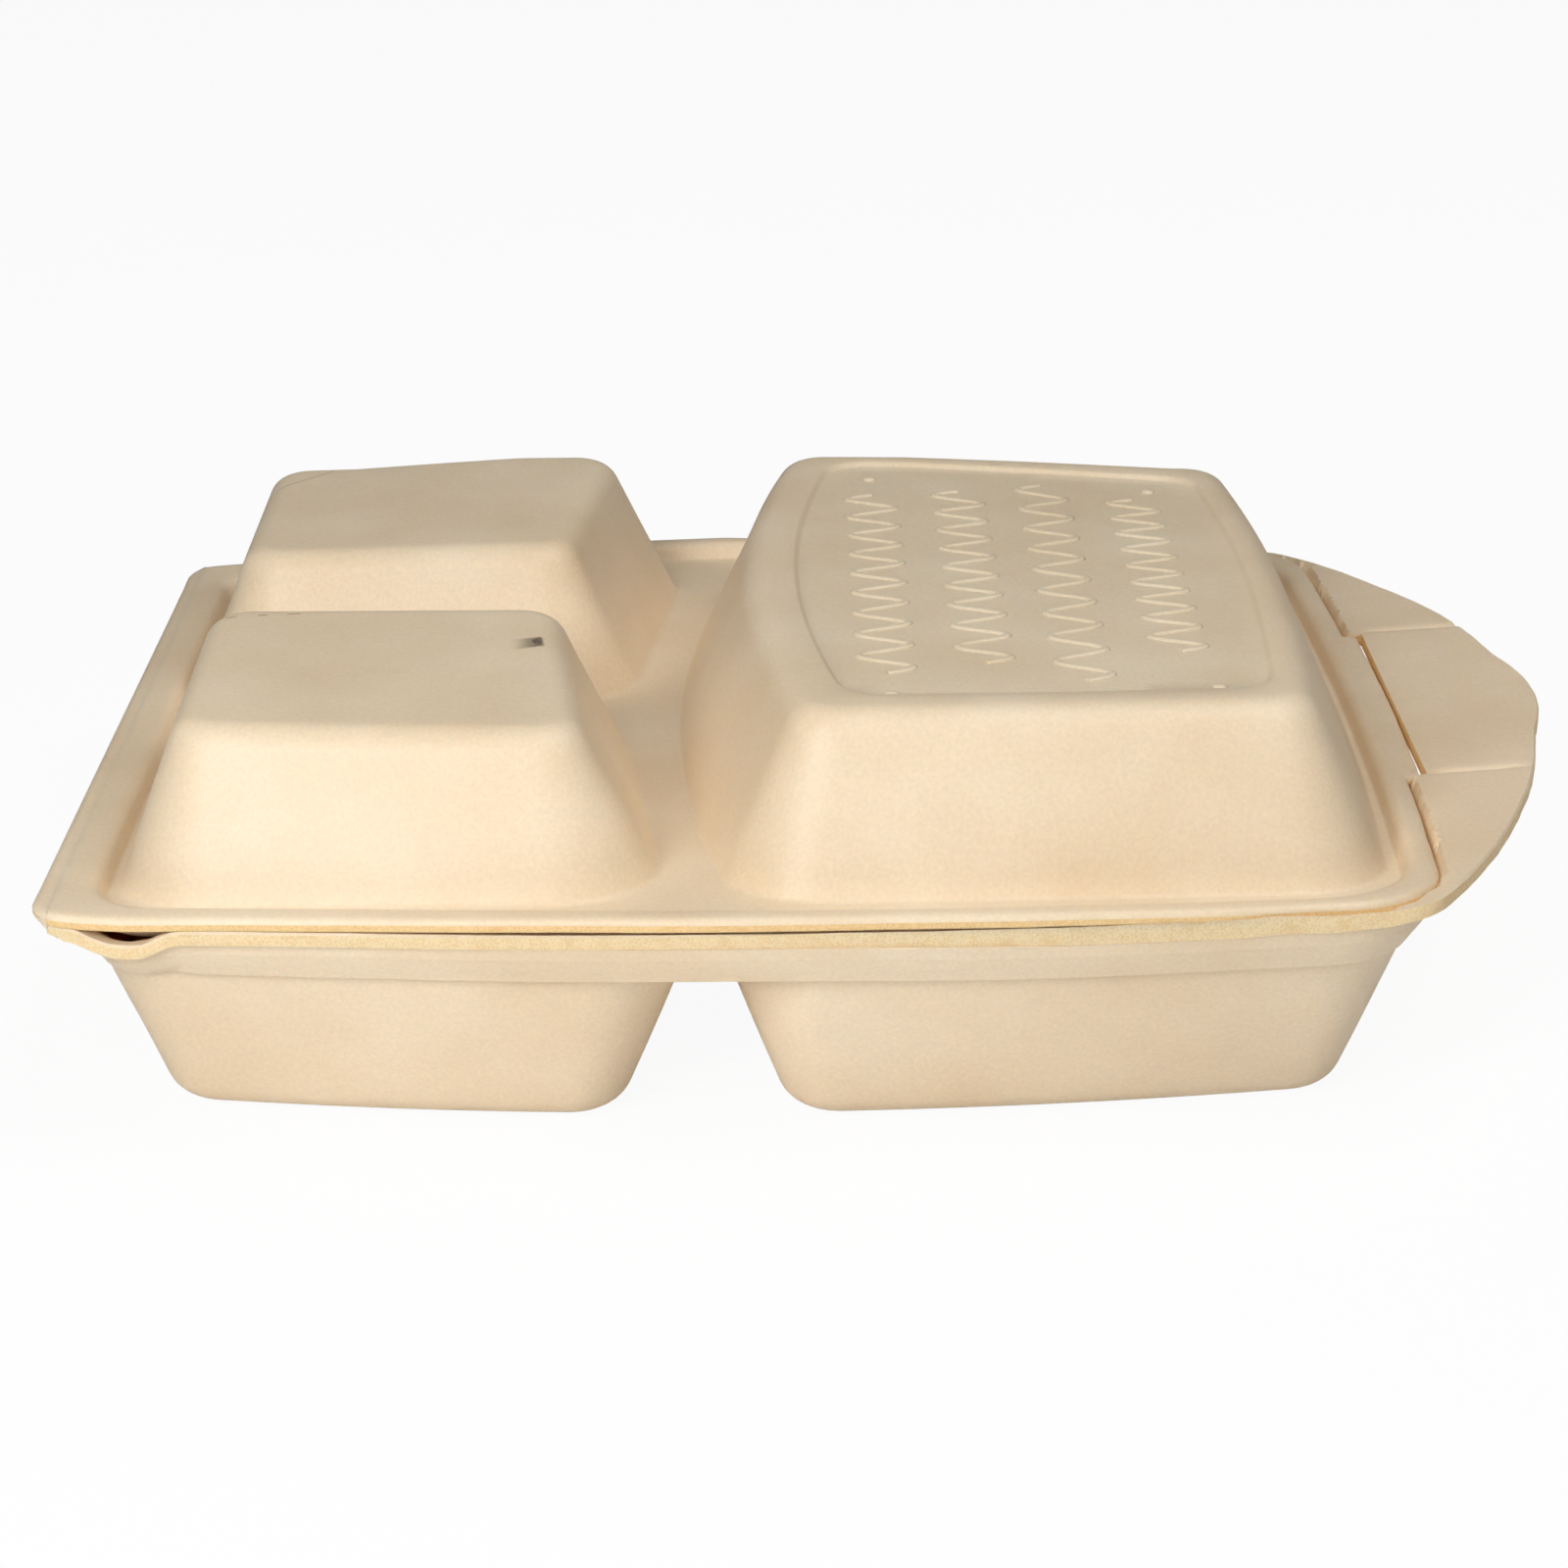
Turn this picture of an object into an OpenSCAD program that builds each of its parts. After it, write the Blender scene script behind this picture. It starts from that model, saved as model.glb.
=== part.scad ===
// Closed takeaway tray with a hinged lid, formed from one foam sheet.
// The base has three compartments, a rim and a front locking tab with a slit.
// The lid has a dome over each compartment and a tongue that meets the slit.
// Frame: +X from the fold to the tab, Y along the fold, +Z up, and the table at z = 0.
// Inside the modules x = 0 is the outer face of the fold, and centred() moves it to the middle.

/* [Sheet] */
// Thickness of the foam sheet
sheet_t = 2.2; // [1.8:0.1:2.6]
// Gap between the lid flange and the base rim when shut
rim_gap = 0.3; // [0.25:0.05:0.5]

/* [Rim] */
// Height of the base rim above the table
rim_h = 36; // [32:1:50]
// Length from the fold to the lid's front corners
flange_l = 213; // [213:1:220]
// Width across the ends of the fold
flange_w_fold = 191; // [191:0.5:197]
// Width across the lid's front corners
flange_w = 197; // [197:0.5:203]
// How far each long side bows outwards at its middle
side_bow = 7.8; // [7.5:0.1:9]
// How far the front edge bows outwards at its middle
front_bow = 2.2; // [1:0.1:4]
// Corner radius at the ends of the fold
fold_corner_r = 6; // [5:1:14]
// Corner radius at the front of the lid
front_corner_r = 18; // [14:1:18]
// Radius of the rolled fold
fold_r = 1.4; // [1.2:0.1:1.6]
// How far the base rim dips near the fold
rim_dip = 1.9; // [0.5:0.1:2.5]
// Distance of the lowest point of that dip from the fold
dip_at = 17.5; // [14:0.5:20]

/* [Base pan] */
// Width of the flat rim at the top of the pan, along the sides
rim_flat = 2.2; // [1.8:0.1:2.4]
// Width of that rim along the front
rim_flat_front = 1.2; // [1:0.1:1.4]
// Width of that rim beside the fold
rim_flat_fold = 5.4; // [5:0.1:5.6]
// Depth of the web between the compartments below the rim
pan_depth = 7; // [6:0.5:8]
// Corner radius of the pan at the ends of the fold
pan_fold_r = 13; // [12:1:14]
// Corner radius of the pan at the front
pan_front_r = 19; // [17:1:20]
// Sideways travel of the pan wall for each unit of depth
pan_slope = 0.4; // [0.35:0.05:0.45]
// Depth of the moulded ledge line on the pan wall
ledge_depth = 4.4; // [4.2:0.1:5]
// Width of that ledge
ledge_w = 0.3; // [0.2:0.1:0.4]

/* [Base compartments] */
// Where the small compartments start, from the fold
tub_start = 8.4; // [8.2:0.1:11]
// Where the small compartments end at the middle of the tray
tub_small_end_mid = 92; // [84:0.5:92]
// Where the small compartments end at the long sides
tub_small_end_side = 100.8; // [92:0.1:101]
// Half the width of the web between the two small compartments
tub_mid_web = 4; // [3.5:0.1:8]
// Where the large compartment starts, at its corners
tub_large_start = 106.4; // [105.9:0.1:110]
// Distance from the front edge of the flange to the large compartment, at its corners
tub_front_margin = 5; // [4.8:0.1:10]
// Distance from the long edges of the flange to the compartments
tub_margin = 5.6; // [5.6:0.1:8]
// How much narrower each side of the large floor gets at its front end
floor_taper = 5; // [0:0.5:6]
// How far the front wall of the large compartment stands steeper at the floor
tub_front_upright = 1.2; // [0:0.1:1.5]
// How far the fold side of the small compartments stands steeper at the floor
tub_fold_upright = 0.7; // [0:0.1:1]
// Sideways travel of the compartment walls for each unit of depth
tub_draft = 0.4; // [0.35:0.01:0.45]
// Radius where a wall turns into the web
tub_web_r = 1; // [0.8:0.1:1.2]

/* [Domes] */
// Where the small domes start, from the fold
bay_start = 10.8; // [10.8:0.1:14]
// Where the small domes end at the middle of the lid
small_end_mid = 87; // [80:0.5:88]
// Where the small domes end at the long sides
small_end_side = 96; // [90:0.5:96]
// Half the width of the web between the two small domes
mid_web = 7.6; // [5:0.1:10]
// Where the large dome starts, at its corners
large_start = 106; // [105.5:0.5:112]
// How far the large dome and compartment bow towards the fold
large_bow = 8.5; // [5:0.5:8.5]
// Distance from the front edge of the flange to the large dome, at its corners
dome_front_margin = 7; // [7:0.5:12]
// How far the large dome and compartment bow towards the front
large_front_bow = 3; // [1:0.1:3]
// Distance from the long edges of the flange to the domes, at the fold end
dome_margin_fold = 8.5; // [8:0.5:12]
// Distance from the long edges of the flange to the domes, at the divider
dome_margin_mid = 13.1; // [12.1:0.1:18]
// Distance from the long edges of the flange to the large dome, at the front end
dome_margin_front = 12; // [11:0.5:16]
// Outward bow of the dome sides
bay_bow = 1; // [0.5:0.1:1.5]
// Sideways travel of the dome walls for each unit of height
draft = 0.45; // [0.4:0.01:0.5]
// Plan radius of the corners at the web
mouth_r = 15; // [12:0.5:18]
// Plan radius of those corners at the floor of a base compartment or the top of a dome
floor_r = 8; // [7.5:0.5:10]
// Radius where a wall turns into a floor or a top
edge_r = 6.5; // [5:0.5:8]
// Radius where a dome's wall turns into the web
web_r = 1.8; // [1:0.1:2]

/* [Lid] */
// How far the lid web lies below the lid flange
lid_step = 2.9; // [2.5:0.1:3.5]
// Height of the small domes above the lid web
small_dome_h = 26.6; // [20:0.1:32]
// How far the fold side of the small domes stands steeper at the top
small_upright = 2.4; // [0:0.1:2.8]
// Height of the large dome above the lid web
large_dome_h = 27.2; // [20:0.1:32]
// Sideways clearance between the lid step and the pan wall
nest_gap = 0.45; // [0.4:0.05:0.7]
// Depth of the sunk panel on the large dome
panel_depth = 0.6; // [0.3:0.1:1]
// Margin between that panel and the edge of the dome top
panel_margin = 8; // [7:0.5:12]
// How much closer the panel lies to the front edge of that top
panel_forward = 3; // [0:0.5:3]
// Corner radius of the panel
panel_r = 8; // [6:1:12]
// How far the tongue reaches past the lid's front edge
tongue_reach = 2.4; // [1.8:0.1:3]
// Half the length of the tongue along the front
tongue_half = 39; // [30:1:46]

/* [Tab] */
// Clearance round the tongue in the slit
slit_gap = 0.6; // [0.5:0.1:0.9]
// Height of the lip where the tab rises beyond the lid
lip_h = 3.2; // [1.5:0.1:4]
// Length over which the lip rises
lip_run = 3; // [2.5:0.1:4]
// Further rise of the tab from the lip to its tip
tab_rise = 1.6; // [0:0.1:3]
// Radius of the tab's long outer curve
tab_r = 176; // [168:1:184]
// Reach of that curve past the lid's front corners
tab_reach = 27.2; // [25:0.1:30]
// Reach of the thumb lobe past that curve
lobe_reach = 1.9; // [1.5:0.1:4]
// Half the width of the thumb lobe
lobe_half = 21; // [16:1:26]
// Depth of the two pressed crease lines beside the slit
crease_depth = 0.5; // [0.2:0.1:0.8]

/* [Hidden] */

corner_steps = 5;
side_steps = 3;
over = 1;
bend_r = 0.9;
overall_l = flange_l + tab_reach + lobe_reach;
front_x = flange_l + front_bow;
lid_z = rim_h + rim_gap;
lid_top_z = lid_z + sheet_t;
lid_web_z = lid_top_z - lid_step;
web_z = rim_h - pan_depth;
fold_z = rim_h + rim_gap / 2;
lid_start = 2 * fold_r + rim_gap;
step_t = sheet_t * sqrt(1 + pan_slope * pan_slope);
cream = [0.93, 0.83, 0.66];

// Four corners, counter-clockwise from the near end of the fold
function plan4(x0, x1, half0, half1) = [[x0, -half0], [x1, -half1], [x1, half1], [x0, half0]];

// Plan of the flange
flange_corners = plan4(0, flange_l, flange_w_fold / 2, flange_w / 2);
flange_bows = [side_bow, front_bow, side_bow, 0];
flange_radii = [fold_corner_r, front_corner_r, front_corner_r, fold_corner_r];

// Plan of the pan at the rim, which the step in the lid follows too
pan_end = flange_l - rim_flat_front;
pan_half_fold = flange_w_fold / 2 - rim_flat;
pan_half_front = flange_w / 2 - rim_flat;
pan_corners = plan4(rim_flat_fold, pan_end, pan_half_fold, pan_half_front);
pan_radii = [pan_fold_r, pan_front_r, pan_front_r, pan_fold_r];

// Half the flange's width at a distance x from the fold
function flange_half(x) =
    (flange_w_fold + (flange_w - flange_w_fold) * x / flange_l) / 2
    + 4 * side_bow * x / flange_l * (1 - x / flange_l);

// Plans of the base compartments at the web, and of the large one at its floor
tub_large_end = flange_l - tub_front_margin;
tub_half_fold = flange_w_fold / 2 - tub_margin;
tub_half_mid = flange_half(tub_small_end_side) - tub_margin;
tub_half_front = flange_w / 2 - tub_margin;
tub_large_corners = plan4(tub_large_start, tub_large_end, tub_half_mid, tub_half_front);
tub_large_floor = plan4(tub_large_start, tub_large_end + tub_front_upright, tub_half_mid,
                        tub_half_front - floor_taper);
tub_small_corners = [[tub_start, tub_mid_web], [tub_small_end_mid, tub_mid_web],
                     [tub_small_end_side, tub_half_mid], [tub_start, tub_half_fold]];
tub_small_floor = [tub_small_corners[0] - [tub_fold_upright, 0], tub_small_corners[1],
                   tub_small_corners[2], tub_small_corners[3] - [tub_fold_upright, 0]];
function part_bow(x0, x1) = side_bow * pow((x1 - x0) / pan_end, 2);
tub_small_bows = [0, 0, part_bow(tub_start, tub_small_end_side), 0];
tub_side_bow = part_bow(tub_large_start, tub_large_end);
tub_large_bows = [tub_side_bow, front_bow, tub_side_bow, large_bow];

// Plans of the domes at the web
large_end = flange_l - dome_front_margin;
bay_half_fold = flange_w_fold / 2 - dome_margin_fold;
bay_half_mid = flange_half(small_end_side) - dome_margin_mid;
bay_half_front = flange_w / 2 - dome_margin_front;
large_corners = plan4(large_start, large_end, bay_half_mid, bay_half_front);
large_bows = [bay_bow, large_front_bow, bay_bow, large_bow];
small_corners = [[bay_start, mid_web], [small_end_mid, mid_web],
                 [small_end_side, bay_half_mid], [bay_start, bay_half_fold]];
small_bows = [0, 0, bay_bow, 0];
small_top = [small_corners[0] - [small_upright, 0], small_corners[1], small_corners[2],
             small_corners[3] - [small_upright, 0]];

// Plane vectors
function unit(v) = v / norm(v);
function left(v) = [-v[1], v[0]];
function turned(v, a) = [v[0] * cos(a) - v[1] * sin(a), v[0] * sin(a) + v[1] * cos(a)];
function cross2(a, b) = a[0] * b[1] - a[1] * b[0];
function mixed(a, b, t) = a + (b - a) * t;

// Side i of a plan: its direction at its start and its end, turned by its outward bow
function side(c, i) = c[(i + 1) % 4] - c[i % 4];
function bow_angle(c, b, i) = atan(4 * b[i % 4] / norm(side(c, i)));
function start_dir(c, b, i) = turned(unit(side(c, i)), -bow_angle(c, b, i));
function end_dir(c, b, i) = turned(unit(side(c, i)), bow_angle(c, b, i));

// Centre of corner i's arc of radius r, on a plan moved inwards by inset
function arc_centre(c, b, r, inset, i) =
    let (n1 = left(end_dir(c, b, i + 3)), n2 = left(start_dir(c, b, i)))
    c[i] + (n1 + n2) * (inset + r) / (1 + n1 * n2);

// Arc round corner i, from the end of one side to the start of the next
function corner_arc(c, b, r, inset, i) =
    let (
        from = end_dir(c, b, i + 3),
        sweep = acos(from * start_dir(c, b, i)),
        centre = arc_centre(c, b, r, inset, i)
    )
    [for (k = [0:corner_steps]) centre - r * left(turned(from, sweep * k / corner_steps))];

// Points between two corner arcs, on a curve that leaves and meets them smoothly
function side_curve(c, b, p, q, i) =
    let (
        s = start_dir(c, b, i),
        e = end_dir(c, b, i),
        bend = b[i] == 0 ? (p + q) / 2 : p + s * cross2(q - p, e) / cross2(s, e)
    )
    [for (k = [1:side_steps]) let (t = k / (side_steps + 1))
        mixed(mixed(p, bend, t), mixed(bend, q, t), t)];

// Closed outline of a four-sided plan with bowed sides and round corners
function outline(c, b, radii, inset) =
    let (arcs = [for (i = [0:3]) corner_arc(c, b, radii[i], inset, i)])
    [for (i = [0:3]) each concat(
        arcs[i], side_curve(c, b, arcs[i][corner_steps], arcs[(i + 1) % 4][0], i))];

function ring(c, b, radii, inset, z) =
    [for (p = outline(c, b, radii, inset)) [p[0], p[1], z]];

// Solid through a stack of rings, with one convex slice between each two
module loft(rings) {
    n = len(rings[0]);
    for (i = [0:len(rings) - 2])
        hull() polyhedron(
            points = concat(rings[i], rings[i + 1]),
            faces = concat(
                [[for (k = [0:n - 1]) k], [for (k = [0:n - 1]) 2 * n - 1 - k]],
                [for (k = [0:n - 1]) [(k + 1) % n, k, n + k, n + (k + 1) % n]]));
}

// Section of a compartment wall as [inset, height] pairs: a bend of radius r_web out of the
// web, the wall at slope d, and a bend of radius r_edge into the top or floor
function wall_section(depth, d, r_web, r_edge, shift) =
    let (
        turn = 90 - atan(d),
        at_web = r_web * tan(turn / 2),
        at_edge = r_edge * tan(turn / 2)
    )
    concat(
        [for (k = [0:2]) let (a = turn * k / 2)
            [shift - at_web + r_web * sin(a), r_web * (1 - cos(a))]],
        [for (k = [0:3]) let (a = turn * (1 - k / 3))
            [shift + d * depth + at_edge - r_edge * sin(a), depth - r_edge * (1 - cos(a))]]);

// Solid of one face of a compartment whose plan runs from c at the web to c_far at its floor or
// top: up is 1 for a dome and -1 for a tray, and z is the web's level
module bay_face(c, c_far, b, depth, d, up, z, r_web, r_edge, shift, root) {
    section = wall_section(depth, d, r_web, r_edge, shift);
    stack = concat([[section[0][0], -root]], section);
    loft([for (s = stack)
        let (
            share = max(0, s[1]) / depth,
            r = mixed(mouth_r, floor_r, share) - s[0] + d * max(0, s[1])
        )
        ring([for (i = [0:3]) mixed(c[i], c_far[i], share)], b, [r, r, r, r], s[0],
            z + up * s[1])]);
}

function inner_shift(d) = sheet_t * (sqrt(1 + d * d) - d);

module dome_outside(c, c_top, b, depth)
    bay_face(c, c_top, b, depth, draft, 1, lid_web_z, web_r, edge_r, 0, sheet_t / 2);

module dome_inside(c, c_top, b, depth)
    bay_face(c, c_top, b, depth, draft, 1, lid_web_z - sheet_t, web_r + sheet_t, edge_r - sheet_t,
        inner_shift(draft), over);

module tub_outside(c, c_floor, b)
    bay_face(c, c_floor, b, web_z - sheet_t, tub_draft, -1, web_z - sheet_t, tub_web_r, edge_r,
        0, sheet_t / 2);

module tub_inside(c, c_floor, b)
    bay_face(c, c_floor, b, web_z - sheet_t, tub_draft, -1, web_z, tub_web_r + sheet_t,
        edge_r - sheet_t, inner_shift(tub_draft), over);

module small_pair() {
    children();
    mirror([0, 1, 0]) children();
}

// Step round a pan: inside is the upper face of the sheet and outside is its lower face
module step_inside(c, top_z, floor_z, shift) {
    depth = top_z - floor_z;
    start = pan_slope * (rim_h - top_z) + shift;
    loft([for (s = [[-bend_r, -over], [-bend_r, 0], [pan_slope * bend_r, bend_r],
                    [pan_slope * (depth - bend_r), depth - bend_r],
                    [pan_slope * depth + bend_r / 2, depth]])
        ring(c, flange_bows, pan_radii, start + s[0], top_z - s[1])]);
}

module step_outside(c, top_z, floor_z, shift) {
    depth = top_z - floor_z;
    start = pan_slope * (rim_h - top_z) + shift;
    loft([for (s = [[0, 0], [pan_slope * (depth - bend_r), depth - bend_r],
                    [pan_slope * depth + bend_r / 2, depth]])
        ring(c, flange_bows, pan_radii, start + s[0], top_z - s[1])]);
}

// Level of the base rim and tab at a place in plan
dip_table = [[0, 0.4], [4, 0.4], [dip_at, rim_dip], [dip_at + 3, rim_dip * 0.65],
             [dip_at + 6.5, 0]];
slit_x = front_x + 0.4;
lip_start = slit_x + 0.3;
lip_end = lip_start + lip_run;
lift_table = [[lip_start, 0], [mixed(lip_start, lip_end, 0.25), lip_h * 0.15],
              [mixed(lip_start, lip_end, 0.75), lip_h * 0.85], [lip_end, lip_h],
              [overall_l, lip_h + tab_rise]];
lift_full_y = 74;
lift_end_y = 98;
slit_half = tongue_half + slit_gap;
crease_y = slit_half + 0.4;
crease_w = 1.2;
function lift_share(y) = lookup(abs(y), [[lift_full_y, 1], [lift_end_y, 0.8]]);
function crease(x, y) = x > lip_end && abs(y) == crease_y ? crease_depth : 0;
function rim_level(x, y) =
    rim_h - lookup(x, dip_table) + lookup(x, lift_table) * lift_share(y) - crease(x, y);

// The lip follows the lid's front corners, where it is also closer to the lid and steeper
lid_front = [for (p = outline(flange_corners, flange_bows, flange_radii, 0))
             if (p[1] >= 0 && p[0] > flange_l * 0.6) [p[1], p[0]]];
function corner_share(y) = lookup(abs(y), [[lift_full_y, 0], [lift_end_y - 6, 1]]);
function lip_at(x, y) =
    let (
        c = corner_share(y),
        start = lip_start + lookup(abs(y), lid_front) - lookup(lift_full_y, lid_front) - 0.9 * c
    )
    x < lip_start || x >= overall_l || c == 0 ? x : start + (x - lip_start) * (1 - 0.5 * c);

// Slab between two levels above the rim surface, larger than the plan of the tray
slab_x = concat([-over], [for (p = dip_table) each p[0] > 0 ? [p[0]] : []],
                [for (p = lift_table) p[0]], [lip_end + 0.5, overall_l + over]);
slab_side = [lift_end_y + 12, lift_end_y + 5, lift_end_y + 2.5, lift_end_y, lift_end_y - 3,
             lift_end_y - 7, lift_end_y - 12, lift_end_y - 18, lift_full_y,
             crease_y + crease_w, crease_y, crease_y - crease_w];
slab_y = concat([for (y = slab_side) -y], [for (i = [len(slab_side) - 1:-1:0]) slab_side[i]]);
function sorted(v) = len(v) < 2 ? v :
    let (p = v[0])
    concat(sorted([for (a = v) if (a < p) a]), [p], sorted([for (a = v) if (a > p) a]));

module rim_slab(low, high) {
    xs = sorted(slab_x);
    nx = len(xs);
    ny = len(slab_y);
    n = nx * ny;
    function at(i, j, k) = k * n + i * ny + j;
    function quad(a, b, c, d) = [[a, b, c], [a, c, d]];
    polyhedron(
        points = [for (h = [low, high]) for (x = xs) for (y = slab_y)
            [lip_at(x, y), y, rim_level(x, y) + h]],
        faces = concat(
            [for (i = [0:nx - 2]) for (j = [0:ny - 2])
                each quad(at(i, j, 0), at(i + 1, j, 0), at(i + 1, j + 1, 0), at(i, j + 1, 0))],
            [for (i = [0:nx - 2]) for (j = [0:ny - 2])
                each quad(at(i, j, 1), at(i, j + 1, 1), at(i + 1, j + 1, 1), at(i + 1, j, 1))],
            [for (i = [0:nx - 2])
                each quad(at(i, 0, 0), at(i, 0, 1), at(i + 1, 0, 1), at(i + 1, 0, 0))],
            [for (i = [0:nx - 2]) each quad(
                at(i, ny - 1, 0), at(i + 1, ny - 1, 0), at(i + 1, ny - 1, 1), at(i, ny - 1, 1))],
            [for (j = [0:ny - 2])
                each quad(at(0, j, 0), at(0, j + 1, 0), at(0, j + 1, 1), at(0, j, 1))],
            [for (j = [0:ny - 2]) each quad(
                at(nx - 1, j, 0), at(nx - 1, j, 1), at(nx - 1, j + 1, 1), at(nx - 1, j + 1, 0))]));
}

// Plan of the base: the rim, cut at the front by the tab's long curve, and the thumb lobe
module base_plan() {
    tab_centre = flange_l + tab_reach - tab_r;
    lobe_sag = lobe_reach + tab_r - sqrt(tab_r * tab_r - lobe_half * lobe_half);
    lobe_r = (lobe_half * lobe_half + lobe_sag * lobe_sag) / (2 * lobe_sag);
    offset(r = -3, $fn = 32) offset(r = 3, $fn = 32) {
        offset(r = 9, $fn = 40) offset(delta = -9) intersection() {
            union() {
                polygon(outline(flange_corners, flange_bows,
                    [fold_corner_r, over, over, fold_corner_r], 0));
                translate([flange_l - 12, -flange_w / 2]) square([tab_reach + lobe_reach + 30, flange_w]);
            }
            translate([tab_centre, 0]) circle(tab_r, $fn = 120);
        }
        translate([overall_l - lobe_r, 0]) intersection() {
            circle(lobe_r, $fn = 80);
            translate([lobe_r / 2, -lobe_half]) square([lobe_r, 2 * lobe_half]);
        }
    }
}

module slit() {
    w = tongue_reach - 0.4 + slit_gap;
    translate([slit_x, -slit_half]) offset(r = 0.5, $fn = 16) offset(delta = -0.5)
        square([w, 2 * slit_half]);
}

module fold() {
    fold_half = flange_w_fold / 2 - fold_corner_r;
    translate([fold_r, fold_half, fold_z]) rotate([90, 0, 0])
        cylinder(r = fold_r, h = 2 * fold_half, $fn = 24);
}

module base_rim() {
    difference() {
        intersection() {
            translate([0, 0, web_z]) linear_extrude(pan_depth + lip_h + tab_rise + over)
                difference() {
                    base_plan();
                    translate([-over, -flange_w]) square([over + fold_r * 0.6, 2 * flange_w]);
                    slit();
                }
            rim_slab(-sheet_t, 0);
        }
        step_inside(pan_corners, rim_h, web_z, 0);
    }
}

module base_pan() {
    intersection() {
        difference() {
            union() {
                step_outside(pan_corners, rim_h - bend_r, rim_h - ledge_depth, -step_t);
                step_outside(pan_corners, rim_h - ledge_depth + bend_r, web_z - sheet_t,
                    ledge_w - step_t);
            }
            step_inside(pan_corners, rim_h, web_z, 0);
        }
        rim_slab(-rim_h, 0);
    }
}

module base() {
    color(cream) centred() {
        difference() {
            union() {
                base_rim();
                base_pan();
                tub_outside(tub_large_corners, tub_large_floor, tub_large_bows);
                small_pair() tub_outside(tub_small_corners, tub_small_floor, tub_small_bows);
            }
            tub_inside(tub_large_corners, tub_large_floor, tub_large_bows);
            small_pair() tub_inside(tub_small_corners, tub_small_floor, tub_small_bows);
        }
        fold();
    }
}

module lid_flange() {
    translate([0, 0, lid_z]) linear_extrude(sheet_t) difference() {
        union() {
            polygon(outline(flange_corners, flange_bows, flange_radii, 0));
            translate([flange_l - tongue_reach, -tongue_half]) offset(r = 1.2, $fn = 24)
                offset(delta = -1.2) square([front_bow + 2 * tongue_reach, 2 * tongue_half]);
        }
        translate([-over, -flange_w]) square([over + lid_start, 2 * flange_w]);
    }
}

// Sunk panel on top of the large dome
module panel_cut() {
    top_z = lid_web_z + large_dome_h;
    inset = draft * large_dome_h + panel_margin;
    corners = plan4(large_start, large_end + panel_forward, bay_half_mid, bay_half_front);
    radii = [panel_r, panel_r, panel_r, panel_r];
    loft([for (s = [[panel_depth, -panel_depth], [0, over]])
        ring(corners, large_bows, radii, inset + s[0], top_z + s[1])]);
}

module lid() {
    color(cream) centred() difference() {
        union() {
            difference() {
                union() {
                    lid_flange();
                    step_outside(pan_corners, lid_z + bend_r, lid_web_z - sheet_t, nest_gap);
                }
                step_inside(pan_corners, lid_top_z, lid_web_z, nest_gap + step_t);
            }
            dome_outside(large_corners, large_corners, large_bows, large_dome_h);
            small_pair() dome_outside(small_corners, small_top, small_bows, small_dome_h);
        }
        dome_inside(large_corners, large_corners, large_bows, large_dome_h);
        small_pair() dome_inside(small_corners, small_top, small_bows, small_dome_h);
        panel_cut();
    }
}

module centred() translate([-overall_l / 2, 0, 0]) children();

base();
lid();
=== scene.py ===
"""Dresses a hinged foam menu box: two pressed sheet shells, a fold strip, relief and a studio."""

import logging
import math
from collections.abc import Callable
from dataclasses import dataclass
from enum import Enum

import bmesh
import bpy
import numpy as np
from mathutils import Matrix, Vector
from mathutils.geometry import delaunay_2d_cdt


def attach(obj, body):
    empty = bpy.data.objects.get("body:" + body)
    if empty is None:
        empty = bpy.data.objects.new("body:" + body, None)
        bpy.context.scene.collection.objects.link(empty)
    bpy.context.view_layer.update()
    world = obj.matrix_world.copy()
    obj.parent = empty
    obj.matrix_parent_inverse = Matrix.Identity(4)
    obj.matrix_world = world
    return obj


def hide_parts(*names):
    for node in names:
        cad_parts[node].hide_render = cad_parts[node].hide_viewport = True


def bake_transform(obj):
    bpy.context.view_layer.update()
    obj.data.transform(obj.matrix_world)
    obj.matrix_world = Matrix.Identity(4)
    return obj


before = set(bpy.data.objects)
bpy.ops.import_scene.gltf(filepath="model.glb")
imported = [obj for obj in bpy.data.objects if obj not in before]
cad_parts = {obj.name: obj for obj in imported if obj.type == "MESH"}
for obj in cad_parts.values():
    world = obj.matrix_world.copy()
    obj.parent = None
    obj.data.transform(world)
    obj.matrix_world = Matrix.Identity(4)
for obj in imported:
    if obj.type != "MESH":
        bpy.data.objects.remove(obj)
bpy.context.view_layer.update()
LOG = logging.getLogger("menu_box")


class Body(Enum):
    """Moving bodies of the box."""

    BASE = "base"
    LID = "lid"


class Face(Enum):
    """Sides of the foam sheet, with the sign of their normals' Z."""

    TOP = 1
    UNDER = -1


Table = tuple[tuple[float, float], ...]
Rows = list[tuple[float, float]]
Colour = tuple[float, float, float, float]
Socket = bpy.types.NodeSocket


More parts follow.
